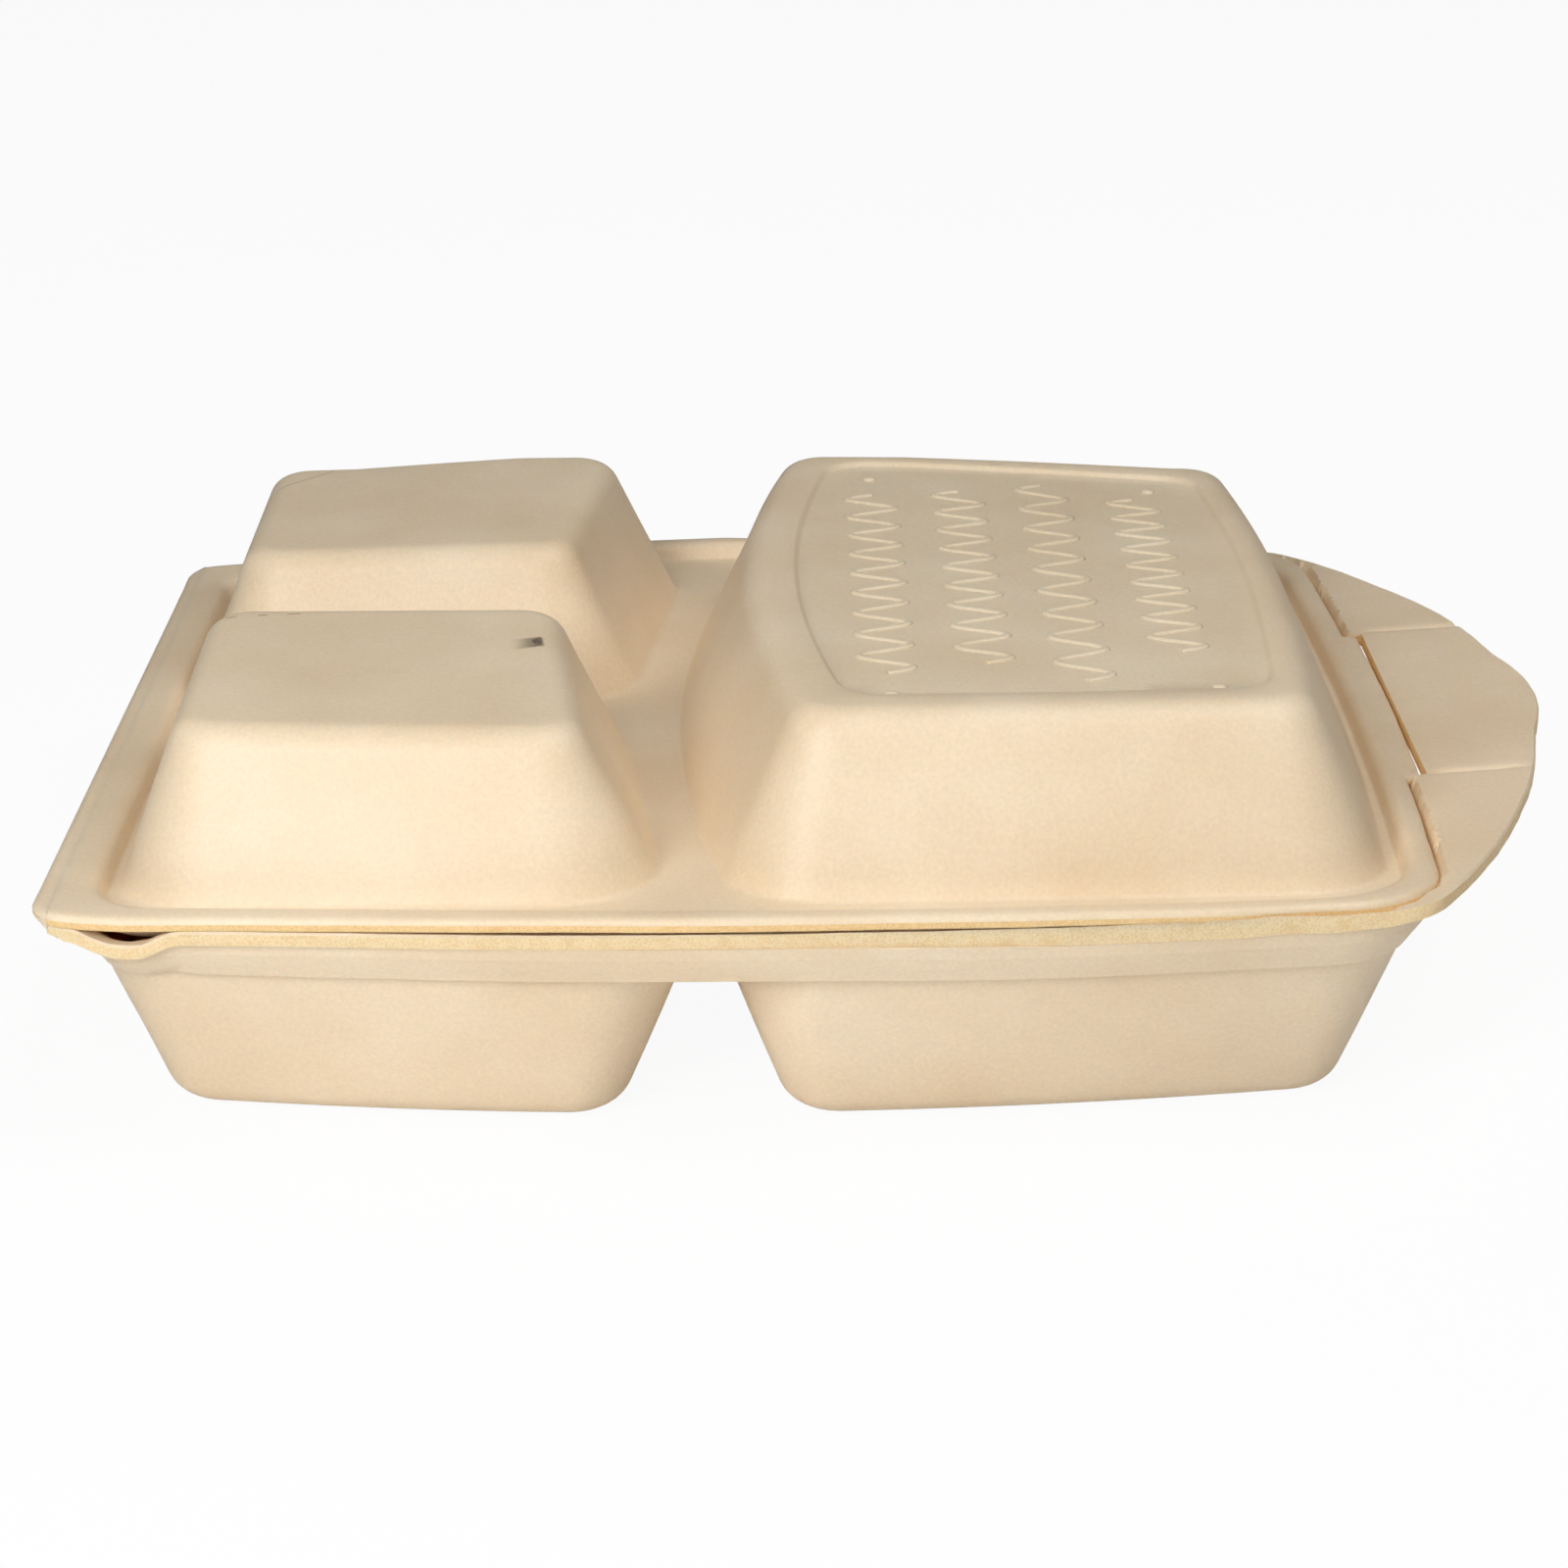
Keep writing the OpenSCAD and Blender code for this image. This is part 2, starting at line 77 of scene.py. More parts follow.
@dataclass(frozen=True)
class BoxSizes:
    """Sizes of the box in millimetres, measured from the outer face of the fold."""

    sheet: float = 2.2
    gap: float = 0.3
    rim_z: float = 36.0
    length: float = 213.0
    fold_half: float = 95.5
    front_half: float = 98.5
    side_bow: float = 7.8
    front_bow: float = 2.2
    fold_corner: float = 6.0
    front_corner: float = 18.0
    sheet_start: float = 2.9
    rim_dip: float = 1.9
    dip_at: float = 17.5
    rim_flat: float = 2.2
    rim_flat_front: float = 1.2
    rim_flat_fold: float = 5.4
    pan_depth: float = 6.6
    pan_slope: float = 0.4
    pan_fold_corner: float = 13.0
    pan_front_corner: float = 19.0
    ledge_depth: float = 4.4
    ledge_width: float = 0.3
    lid_step: float = 2.9
    nest_gap: float = 0.45
    tongue_reach: float = 2.4
    tongue_half: float = 39.0
    slit_gap: float = 0.6
    lip_height: float = 2.6
    lip_run: float = 0.7
    lip_roll: float = 0.6
    lid_trim: float = 0.8
    lid_inset: float = 0.5
    tab_push: float = 1.2
    tab_pull: float = 1.8
    tab_rise: float = 1.6
    tab_radius: float = 176.0
    tab_reach: float = 27.2
    lobe_reach: float = 1.9
    lobe_half: float = 21.0
    crease_depth: float = 0.5
    pinch: float = 0.5

    @property
    def overall(self) -> float:
        """Length from the fold to the tip of the tab."""
        return self.length + self.tab_reach + self.lobe_reach

    @property
    def fold_z(self) -> float:
        """Level of the middle of the fold, between the base's rim and the lid's flange."""
        return self.rim_z + self.gap / 2

    @property
    def crease_y(self) -> float:
        """Distance of the two pressed creases from the middle."""
        return self.tongue_half + self.slit_gap + 0.4

    @property
    def lid_z(self) -> float:
        """Level of the lid flange's underside."""
        return self.rim_z + self.gap

    @property
    def lid_top(self) -> float:
        """Level of the lid flange's upper face."""
        return self.lid_z + self.sheet

    @property
    def lid_web(self) -> float:
        """Level of the web between the domes."""
        return self.lid_top - self.lid_step

    @property
    def pan_web(self) -> float:
        """Level of the web between the base compartments."""
        return self.rim_z - self.pan_depth

    @property
    def slit_x(self) -> float:
        """Where the slit starts."""
        return self.length + self.front_bow + 0.4

    @property
    def lip_x(self) -> float:
        """Where the rim starts to rise to the tab."""
        return self.slit_x + 0.3

    def half_at(self, x: float) -> float:
        """Half the width of the flange at a place along its length.

        Args:
            x: place in millimetres from the fold.

        Returns:
            Half width in millimetres.
        """
        t = x / self.length
        straight = self.fold_half + (self.front_half - self.fold_half) * t
        return straight + 4 * self.side_bow * t * (1 - t)


SIZES = BoxSizes()


def smooth(value: np.ndarray | float) -> np.ndarray | float:
    """Clamp a value to 0..1 and ease it at both ends."""
    t = np.clip(value, 0.0, 1.0)
    return t * t * (3 - 2 * t)


def read(table: Table, place: np.ndarray) -> np.ndarray:
    """Read a table of (place, value) pairs, with straight lines between its rows."""
    return np.interp(place, *zip(*table))


def turned(vector: np.ndarray, angle: float) -> np.ndarray:
    """Turn a plane vector by an angle in radians."""
    c, s = math.cos(angle), math.sin(angle)
    return np.array([vector[0] * c - vector[1] * s, vector[0] * s + vector[1] * c])


def left_of(vector: np.ndarray) -> np.ndarray:
    """Turn a plane vector a quarter turn to its left."""
    return np.array([-vector[1], vector[0]])


def cross(a: np.ndarray, b: np.ndarray) -> float:
    """Return the plane cross product."""
    return float(a[0] * b[1] - a[1] * b[0])


@dataclass(frozen=True)
class Plan:
    """Four-sided plan with bowed sides and round corners, from the near end of the fold round."""

    corners: tuple[tuple[float, float], ...]
    bows: tuple[float, float, float, float]
    radii: tuple[float, float, float, float]
    arc_steps: int = 12
    side_steps: tuple[int, int, int, int] = (36, 36, 36, 36)
    far_corners: tuple[tuple[float, float], ...] | None = None

    def _tangent(self, c: np.ndarray, side: int, sign: float) -> np.ndarray:
        """Direction of a side at its start (sign -1) or its end (sign 1).

        Args:
            c: the four corners.
            side: number of the side.
            sign: -1 for its start, 1 for its end.

        Returns:
            Plane vector of length 1.
        """
        i = side % 4
        run = c[(i + 1) % 4] - c[i]
        size = float(np.linalg.norm(run))
        return turned(run / size, sign * math.atan(4 * self.bows[i] / size))

    def outline(
        self, inset: float, share: float = 0.0, radii: tuple[float, ...] | None = None
    ) -> np.ndarray:
        """Closed outline of the plan.

        Args:
            inset: distance that the outline lies inside the plan, in millimetres.
            share: how far the corners have gone towards far_corners, 0 to 1.
            radii: corner radii that replace the plan's own.

        Returns:
            Array of plane points, counter-clockwise.
        """
        c = np.array(self.corners, float)
        if self.far_corners is not None:
            c = c + (np.array(self.far_corners, float) - c) * share
        r = radii or self.radii
        arcs = []
        for i in range(4):
            arrive = self._tangent(c, i + 3, 1)
            leave = self._tangent(c, i, -1)
            n1, n2 = left_of(arrive), left_of(leave)
            centre = c[i] + (n1 + n2) * (inset + r[i]) / (1 + float(n1 @ n2))
            sweep = math.acos(max(-1.0, min(1.0, float(arrive @ leave))))
            arcs.append(
                [
                    centre - r[i] * left_of(turned(arrive, sweep * k / self.arc_steps))
                    for k in range(self.arc_steps + 1)
                ]
            )
        points = []
        for i in range(4):
            points += arcs[i]
            p, q = arcs[i][-1], arcs[(i + 1) % 4][0]
            s, e = self._tangent(c, i, -1), self._tangent(c, i, 1)
            mid = (p + q) / 2 if self.bows[i] == 0 else p + s * cross(q - p, e) / cross(s, e)
            steps = self.side_steps[i]
            for k in range(1, steps + 1):
                t = k / (steps + 1)
                points.append((1 - t) ** 2 * p + 2 * t * (1 - t) * mid + t * t * q)
        return np.array(points)


def bay_plan(
    corners: tuple[tuple[float, float], ...],
    bows: tuple[float, float, float, float],
    far_corners: tuple[tuple[float, float], ...] | None = None,
) -> Plan:
    """Make the plan of one compartment or dome."""
    return Plan(corners, bows, (15.0, 15.0, 15.0, 15.0), 10, (30, 30, 30, 30), far_corners)


def four(x0: float, x1: float, half0: float, half1: float) -> tuple[tuple[float, float], ...]:
    """Corners of a plan that is the same on both sides of the middle."""
    return ((x0, -half0), (x1, -half1), (x1, half1), (x0, half0))


def bend_out(start: float, radius: float, turn: float, steps: int) -> Rows:
    """Section of the bend that leaves a flat sheet, as (inset, drop) pairs.

    Args:
        start: inset at which the two flat faces would meet.
        radius: radius of the bend.
        turn: angle of the bend in radians.
        steps: rows in the bend.

    Returns:
        Rows from the flat sheet into the wall.
    """
    lead = start - radius * math.tan(turn / 2)
    angles = [turn * k / steps for k in range(steps + 1)]
    return [(lead + radius * math.sin(a), radius * (1 - math.cos(a))) for a in angles]


def bend_in(end: float, depth: float, radius: float, turn: float, steps: int) -> Rows:
    """Section of the bend that meets a flat sheet at a depth, as (inset, drop) pairs.

    Args:
        end: inset at which the two flat faces would meet.
        depth: depth of the flat sheet.
        radius: radius of the bend.
        turn: angle of the bend in radians.
        steps: rows in the bend.

    Returns:
        Rows from the wall into the flat sheet.
    """
    lead = end + radius * math.tan(turn / 2)
    angles = [turn * (1 - k / steps) for k in range(steps + 1)]
    return [(lead - radius * math.sin(a), depth - radius * (1 - math.cos(a))) for a in angles]


def turn_of(slope: float) -> float:
    """Angle in radians between the flat sheet and a wall."""
    return math.pi / 2 - math.atan(slope)


def slant(slope: float) -> float:
    """Sideways thickness of the sheet in a sloping wall."""
    return SIZES.sheet * math.sqrt(1 + slope * slope)


def wall_rows(
    depth: float, slope: float, web_r: float, edge_r: float, shift: float, steps: int = 8
) -> Rows:
    """Section of a compartment wall as (inset, height) pairs.

    Args:
        depth: height from the web to the floor or top.
        slope: sideways travel for each unit of height.
        web_r: radius of the bend out of the web.
        edge_r: radius of the bend into the floor or top.
        shift: sideways shift of the whole wall.
        steps: rows in the bend at the floor or top, and on the straight wall.

    Returns:
        Rows from the web to the floor or top.
    """
    turn = turn_of(slope)
    web = bend_out(shift, web_r, turn, 4)
    edge = bend_in(shift + slope * depth, depth, edge_r, turn, steps)
    (x0, z0), (x1, z1) = web[-1], edge[0]
    shares = [k / steps for k in range(1, steps)]
    return web + [(x0 + (x1 - x0) * t, z0 + (z1 - z0) * t) for t in shares] + edge


def inner_shift(slope: float) -> float:
    """Sideways shift of a wall's inner face, for the sheet's thickness."""
    return slant(slope) - SIZES.sheet * slope


@dataclass(frozen=True)
class Settling:
    """Slow arch of a pressed sheet: rises in millimetres along its sides and on its domes."""

    near: Table
    far: Table
    crown: tuple[tuple[float, Table], ...] = ()

    def apply(self, points: np.ndarray) -> np.ndarray:
        """Lift points of the shut box by the arch.

        Args:
            points: array of points in millimetres from the fold.

        Returns:
            The moved points.
        """
        x, y, z = points[:, 0], points[:, 1], points[:, 2]
        near, far = read(self.near, x), read(self.far, x)
        across = smooth((y + 100) / 200)
        out = points.copy()
        rise = (near * (1 - across) + far * across) * smooth((z - 8) / 24)
        if self.crown:
            ys = [row[0] for row in self.crown]
            table = np.array([read(row[1], x) for row in self.crown])
            spot = np.clip(np.interp(y, ys, range(len(ys))), 0, len(ys) - 1.001)
            low = spot.astype(int)
            share, each = spot - low, np.arange(len(x))
            top = table[low, each] * (1 - share) + table[low + 1, each] * share
            high = smooth((z - 42) / 14)
            rise = rise * (1 - high) + top * high
        out[:, 2] = z + rise
        return out


FAR_ARCH = (
    (0, -1.2), (12, -0.8), (30, 0.0), (70, 0.6), (90, 1.2), (103, 1.5), (118, 1.1), (160, 0.6),
    (195, 0.4), (205, 0.6), (215, 0.6), (245, 0.3),
)
SETTLING = {
    Body.BASE: Settling(
        (
            (0, -0.2), (3, -0.25), (5.3, 0), (7, -0.1), (10.2, -1.05), (12.3, -1.4), (14.5, -1.27),
            (16.2, -1.1), (18.1, -0.7), (20.1, 0), (22.1, 0.1), (24.4, -0.3), (32, -0.05),
            (50, 0.35), (78, 0.6), (106, 1.0), (121, 1.1), (134, 0.85), (156, 0.75),
            (164, 0.85), (183, 1.0), (213, 0.8), (245, 0.8),
        ),
        FAR_ARCH,
    ),
    Body.LID: Settling(
        (
            (0, -0.3), (3, -0.85), (7, -1.1), (15, -1.1), (24, -0.6), (36, -0.1), (50, 0.4),
            (79, 1.0), (106, 1.25), (134, 1.3), (156, 1.3), (183, 1.0), (195, 0.8), (213, 0.6),
            (245, 0.6),
        ),
        FAR_ARCH,
        (
            (-78, ((90, -1.6), (112, 0.6))),
            (-20, ((90, 0.7), (112, 0.6))),
            (20, ((15, -1.6), (60, -0.4), (90, 0.3), (112, 0.5), (180, 0.1))),
            (
                78,
                (
                    (35, -0.4), (65, 1.1), (85, 1.1), (117, 0.5), (137, 0.4), (158, -0.3),
                    (186, -1.4),
                ),
            ),
        ),
    ),
}


def to_row(points: np.ndarray, body: Body) -> np.ndarray:
    """Move points from millimetres at the fold to metres in the row frame, with a body's arch.

    Args:
        points: array of points in millimetres from the fold.
        body: body whose arch they follow.

    Returns:
        The points in metres in the row frame.
    """
    out = SETTLING[body].apply(np.asarray(points, float))
    out[:, 0] -= SIZES.overall / 2
    return out / 1000


def inside(points: np.ndarray, loop: np.ndarray) -> np.ndarray:
    """Tell which plane points lie inside a closed loop.

    Args:
        points: plane points.
        loop: closed loop of plane points.

    Returns:
        True for each point inside the loop.
    """
    x, y = points[:, 0][:, None], points[:, 1][:, None]
    a, b = loop, np.roll(loop, -1, axis=0)
    over = (a[:, 1] > y) != (b[:, 1] > y)
    with np.errstate(divide="ignore", invalid="ignore"):
        at = (b[:, 0] - a[:, 0]) * (y - a[:, 1]) / (b[:, 1] - a[:, 1]) + a[:, 0]
    return (np.sum(over & (x < at), axis=1) % 2) == 1


def near_loop(points: np.ndarray, loop: np.ndarray, reach: float) -> np.ndarray:
    """Tell which plane points lie closer than reach to the points of a loop."""
    gaps = np.linalg.norm(points[:, None, :] - loop[None, :, :], axis=2)
    return gaps.min(axis=1) < reach


def outside_by(points: np.ndarray, loop: np.ndarray) -> np.ndarray:
    """Distance of plane points from a closed loop where they lie outside it, else 0.

    Args:
        points: plane points.
        loop: closed loop of plane points.

    Returns:
        One distance for each point.
    """
    a = loop[None, :, :]
    run = np.roll(loop, -1, axis=0)[None, :, :] - a
    out = np.zeros(len(points))
    free = np.flatnonzero(~inside(points, loop))
    for part in np.array_split(free, max(1, len(free) // 500)):
        gap = points[part][:, None, :] - a
        t = np.clip((gap * run).sum(axis=2) / np.maximum((run * run).sum(axis=2), 1e-12), 0, 1)
        out[part] = np.linalg.norm(gap - run * t[:, :, None], axis=2).min(axis=1)
    return out


class Sheet:
    """Gathers the rings and fills of a foam sheet and joins them into one mesh."""

    def __init__(self, name: str, body: Body) -> None:
        """Start an empty sheet.

        Args:
            name: name of the object to make.
            body: body whose arch the sheet follows.
        """
        self.name = name
        self.body = body
        self.points: list[np.ndarray] = []
        self.faces: list[tuple[int, ...]] = []
        self.slots: list[int] = []
        self.size = 0

    def add(self, points: np.ndarray, faces: list[tuple[int, ...]], slot: int) -> None:
        """Append points and faces that count from the first of these points.

        Args:
            points: array of points in millimetres.
            faces: faces as numbers of points.
            slot: material slot of the faces.
        """
        self.points.append(np.asarray(points, float))
        self.faces += [tuple(self.size + i for i in f) for f in faces]
        self.slots += [slot] * len(faces)
        self.size += len(points)

    def bridge(self, rings: list[np.ndarray], face: Face, slot: int = 0) -> None:
        """Join closed rings with quads whose normals have the face's side.

        Args:
            rings: rings of equal count, each an array of points.
            face: side of the sheet that the surface belongs to.
            slot: material slot.
        """
        n = len(rings[0])
        faces = []
        for j in range(len(rings) - 1):
            for i in range(n):
                k = (i + 1) % n
                faces.append((j * n + i, j * n + k, (j + 1) * n + k, (j + 1) * n + i))
        if face is Face.UNDER:
            faces = [f[::-1] for f in faces]
        self.add(np.concatenate(rings), faces, slot)

    def fill(
        self,
        outer: np.ndarray,
        holes: list[np.ndarray],
        face: Face,
        spacing: float,
        level: Callable[[np.ndarray], np.ndarray] | None = None,
        extra: np.ndarray | None = None,
    ) -> None:
        """Triangulate the plane between an outer ring and its holes.

        Args:
            outer: outer ring of points.
            holes: rings that bound the holes.
            face: side of the sheet.
            spacing: distance between the points added inside.
            level: function that gives the height of plane points added inside.
            extra: more plane points to add inside.
        """
        loops = [outer, *holes]
        flat = [p[:2] for loop in loops for p in loop]
        heights = [p[2] for loop in loops for p in loop]
        edges = []
        start = 0
        for loop in loops:
            n = len(loop)
            edges += [(start + i, start + (i + 1) % n) for i in range(n)]
            start += n
        lo, hi = outer[:, :2].min(axis=0), outer[:, :2].max(axis=0)
        xs = np.arange(lo[0] + spacing / 2, hi[0], spacing)
        ys = np.arange(lo[1] + spacing / 2, hi[1], spacing)
        grid = np.array([(x, y) for x in xs for y in ys])
        if extra is not None:
            grid = np.concatenate([extra, grid[~near_loop(grid, extra, spacing * 0.6)]])
        keep = inside(grid, outer[:, :2])
        for hole in holes:
            keep &= ~inside(grid, hole[:, :2])
        grid = grid[keep]
        for loop in loops:
            grid = grid[~near_loop(grid, loop[:, :2], min(spacing * 0.5, 1.0))]
        if level is None:
            inner = np.full(len(grid), outer[0][2])
        else:
            inner = level(grid)
        flat += list(grid)
        heights += list(inner)
        verts, _, faces, origins, _, _ = delaunay_2d_cdt(
            [Vector((float(p[0]), float(p[1]))) for p in flat], edges, [], 0, 1e-6
        )
        found = np.array([(v.x, v.y) for v in verts])
        z = np.array([heights[o[0]] if o else outer[0][2] for o in origins])
        tris = np.array([tuple(f) for f in faces])
        mids = found[tris].mean(axis=1)
        keep = inside(mids, outer[:, :2])
        for hole in holes:
            keep &= ~inside(mids, hole[:, :2])
        a, b, c = (found[tris[:, i]] for i in range(3))
        area = (b[:, 0] - a[:, 0]) * (c[:, 1] - a[:, 1]) - (b[:, 1] - a[:, 1]) * (c[:, 0] - a[:, 0])
        good = []
        for f, k, s in zip(tris, keep, area):
            if k and abs(s) > 1e-7:
                good.append(tuple(f) if s * face.value > 0 else tuple(f[::-1]))
        self.add(np.column_stack([found, z]), good, 0)

    def make(self, finishes: list[bpy.types.Material], crease: float = 38.0) -> bpy.types.Object:
        """Join everything into an object in the row frame.

        Args:
            finishes: materials, in slot order.
            crease: angle in degrees above which an edge stays sharp.

        Returns:
            The new object, at the origin.
        """
        points = to_row(np.concatenate(self.points), self.body)
        mesh = bpy.data.meshes.new(self.name)
        mesh.from_pydata([tuple(p) for p in points], [], self.faces)
        mesh.polygons.foreach_set("material_index", self.slots)
        work = bmesh.new()
        work.from_mesh(mesh)
        bmesh.ops.remove_doubles(work, verts=work.verts, dist=2e-6)
        bmesh.ops.dissolve_degenerate(work, edges=work.edges, dist=1e-7)
        work.to_mesh(mesh)
        work.free()
        for finish in finishes:
            mesh.materials.append(finish)
        mesh.shade_smooth()
        mesh.set_sharp_from_angle(angle=math.radians(crease))
        return in_scene(self.name, mesh)


def in_scene(name: str, data: bpy.types.ID) -> bpy.types.Object:
    """Put a mesh, a lamp or a camera in the scene as an object at the origin.

    Args:
        name: name of the object.
        data: the mesh, lamp or camera.

    Returns:
        The new object.
    """
    piece = bpy.data.objects.new(name, data)
    bpy.context.scene.collection.objects.link(piece)
    return piece


def at(outline: np.ndarray, level: float | np.ndarray) -> np.ndarray:
    """Give an outline a height."""
    return np.column_stack([outline, np.broadcast_to(level, len(outline))])


def wavy(outline: np.ndarray, amount: float, seed: int) -> np.ndarray:
    """Shift plane points sideways by a slow uneven wave, as a knife-cut edge has.

    Args:
        outline: closed outline.
        amount: largest shift in millimetres.
        seed: seed of the wave.

    Returns:
        The moved outline.
    """
    rng = np.random.default_rng(seed)
    step = np.linalg.norm(np.roll(outline, -1, axis=0) - outline, axis=1)
    run = np.concatenate([[0], np.cumsum(step)[:-1]])
    total = float(step.sum())
    shift = np.zeros(len(outline))
    for cycles in (7, 16, 31, 58, 97):
        shift += rng.uniform(0.5, 1.0) * np.sin(
            2 * math.pi * cycles * run / total + rng.uniform(0, 6.3)
        ) / math.sqrt(cycles)
    shift *= amount / max(1e-9, float(np.abs(shift).max()))
    ahead = np.roll(outline, -1, axis=0) - np.roll(outline, 1, axis=0)
    ahead /= np.linalg.norm(ahead, axis=1)[:, None]
    return outline + np.column_stack([ahead[:, 1], -ahead[:, 0]]) * shift[:, None]


def eased(outline: np.ndarray, inset: float) -> np.ndarray:
    """Move a closed outline inwards along its own normals.

    Args:
        outline: closed outline of plane points.
        inset: distance in millimetres, below 0 for outwards.

    Returns:
        The moved outline.
    """
    ahead = np.roll(outline, -1, axis=0) - np.roll(outline, 1, axis=0)
    ahead /= np.linalg.norm(ahead, axis=1)[:, None]
    return outline + np.column_stack([-ahead[:, 1], ahead[:, 0]]) * inset


def kept_inside(ring: np.ndarray, loop: np.ndarray, margin: float = 0.05) -> np.ndarray:
    """Move the points of a ring inwards by as much as they stand outside a loop.

    Args:
        ring: closed ring of points.
        loop: closed ring that should surround it.
        margin: least distance to keep, in millimetres.

    Returns:
        The moved ring.
    """
    out = ring.copy()
    away = outside_by(ring[:, :2], eased(loop[:, :2], margin))
    out[:, :2] += (eased(ring[:, :2], 1.0) - ring[:, :2]) * away[:, None]
    return out


def clipped(outline: np.ndarray) -> np.ndarray:
    """Stop an outline at the fold, where the fold strip takes over.

    Args:
        outline: closed outline of plane points.

    Returns:
        The outline with no point past the start of the sheet.
    """
    out = outline.copy()
    out[:, 0] = np.maximum(out[:, 0], SIZES.sheet_start)
    return out


FLANGE = Plan(
    four(0, SIZES.length, SIZES.fold_half, SIZES.front_half),
    (SIZES.side_bow, SIZES.front_bow, SIZES.side_bow, 0),
    (SIZES.fold_corner, SIZES.front_corner, SIZES.front_corner, SIZES.fold_corner),
    14,
    (150, 140, 150, 60),
)
PAN = Plan(
    four(
        SIZES.rim_flat_fold,
        SIZES.length - SIZES.rim_flat_front,
        SIZES.fold_half - SIZES.rim_flat,
        SIZES.front_half - SIZES.rim_flat,
    ),
    (SIZES.side_bow, SIZES.front_bow, SIZES.side_bow, 0),
    (SIZES.pan_fold_corner, SIZES.pan_front_corner, SIZES.pan_front_corner, SIZES.pan_fold_corner),
    14,
    (70, 60, 70, 60),
)
PAN_UNDER = Plan(
    four(
        SIZES.rim_flat_fold + 1.9,
        SIZES.length - SIZES.rim_flat_front - 1.7,
        SIZES.fold_half - SIZES.rim_flat + 0.1,
        SIZES.front_half - SIZES.rim_flat + 0.1,
    ),
    PAN.bows,
    (15.0, 17.0, 17.0, 15.0),
    14,
    (70, 60, 70, 60),
    four(
        SIZES.rim_flat_fold - 0.3,
        SIZES.length - SIZES.rim_flat_front - 0.3,
        SIZES.fold_half - SIZES.rim_flat,
        SIZES.front_half - SIZES.rim_flat,
    ),
)


def lid_line() -> np.ndarray:
    """Outline of the lid's flange without its tongue, trimmed a little beside the front corners.

    Returns:
        Plane points, counter-clockwise.
    """
    line = FLANGE.outline(0)
    trim = SIZES.lid_trim * smooth((line[:, 0] - 180) / 14)
    trim += SIZES.lid_inset * smooth((line[:, 0] - 100) / 30)
    trim *= smooth((np.abs(line[:, 1]) - 60) / 30)
    line[:, 1] -= np.sign(line[:, 1]) * trim
    return line


LID_LINE = lid_line()
LEDGE = ((-0.5, 0.0), (-0.1, 0.06), (0.35, 0.85), (0.8, 1.0))
RIM_EDGE = ((0, 1.1), (0.1, 0.75), (0.35, 0.36), (0.8, 0.1), (1.6, 0))
DIP = (
    (0, 0.4), (4, 0.4), (9, 0.9), (SIZES.dip_at - 4, 1.6), (SIZES.dip_at, SIZES.rim_dip),
    (SIZES.dip_at + 3, SIZES.rim_dip * 0.65), (SIZES.dip_at + 6.5, 0),
)
WEDGE = ((SIZES.tongue_half, 0.2), (46, 0.45), (65, 0.3), (88, 0.0))
SIDE_LIP = (
    (105, 0.0), (134, 0.28), (172, 0.38), (181, 0.36), (188, 0.18), (196, 0.12), (204, 0.36),
    (211, 0.8), (216, 1.0),
)
CURL = (
    (100, 0.0), (121, 0.5), (140, 0.9), (156, 1.1), (171, 1.2), (183, 1.15), (188, 1.05),
    (196, 1.0), (204, 0.7), (211, 0.3), (216, 0.0),
)
CREASE_MARKS = (-1.4, -0.7, 0.0, 0.7, 1.4)
DIP_MARKS = (7, 10, 13.5, 15.5, 17.5, 19, 20.5, 22.3, 24)
LIP_MARKS = (0.08, 0.25, 0.42, 0.6, 0.8, 1.0, 1.25, 1.7, 2.6, 4.2, 6.5)


@dataclass(frozen=True)
class Bay:
    """One compartment of the base or dome of the lid."""

    plan: Plan
    depth: float
    slope: float
    up: int
    web_z: float
    mouth_r: float = 15.0
    floor_r: float = 8.0
    web_r: float = 1.8
    edge_r: float = 6.5

    def rings(self, outer: bool) -> list[np.ndarray]:
        """Rings of the wall from the web to the floor or top.

        Args:
            outer: True for the face outside the compartment.

        Returns:
            One ring for each row of the wall's section.
        """
        if outer:
            rows = wall_rows(self.depth, self.slope, self.web_r, self.edge_r, 0.0)
            z0 = self.web_z
        else:
            rows = wall_rows(
                self.depth,
                self.slope,
                self.web_r + SIZES.sheet,
                self.edge_r - SIZES.sheet,
                inner_shift(self.slope),
            )
            z0 = self.web_z - self.up * SIZES.sheet
        out = []
        for inset, height in rows:
            share = max(0.0, height) / self.depth
            r = self.mouth_r + (self.floor_r - self.mouth_r) * share - inset + self.slope * height
            ring = self.plan.outline(inset, share, (r, r, r, r))
            out.append(at(ring, z0 + self.up * height))
        return out


def mirrored(ring: np.ndarray) -> np.ndarray:
    """Mirror a ring across the middle and keep it counter-clockwise.

    Args:
        ring: closed ring of points.

    Returns:
        The mirrored ring.
    """
    out = ring.copy()
    out[:, 1] *= -1
    return out[::-1]


def both(bay: Bay, outer: bool) -> list[list[np.ndarray]]:
    """Rings of a small bay on the far side and of its mirror on the near side."""
    far = bay.rings(outer)
    return [far, [mirrored(r) for r in far]]


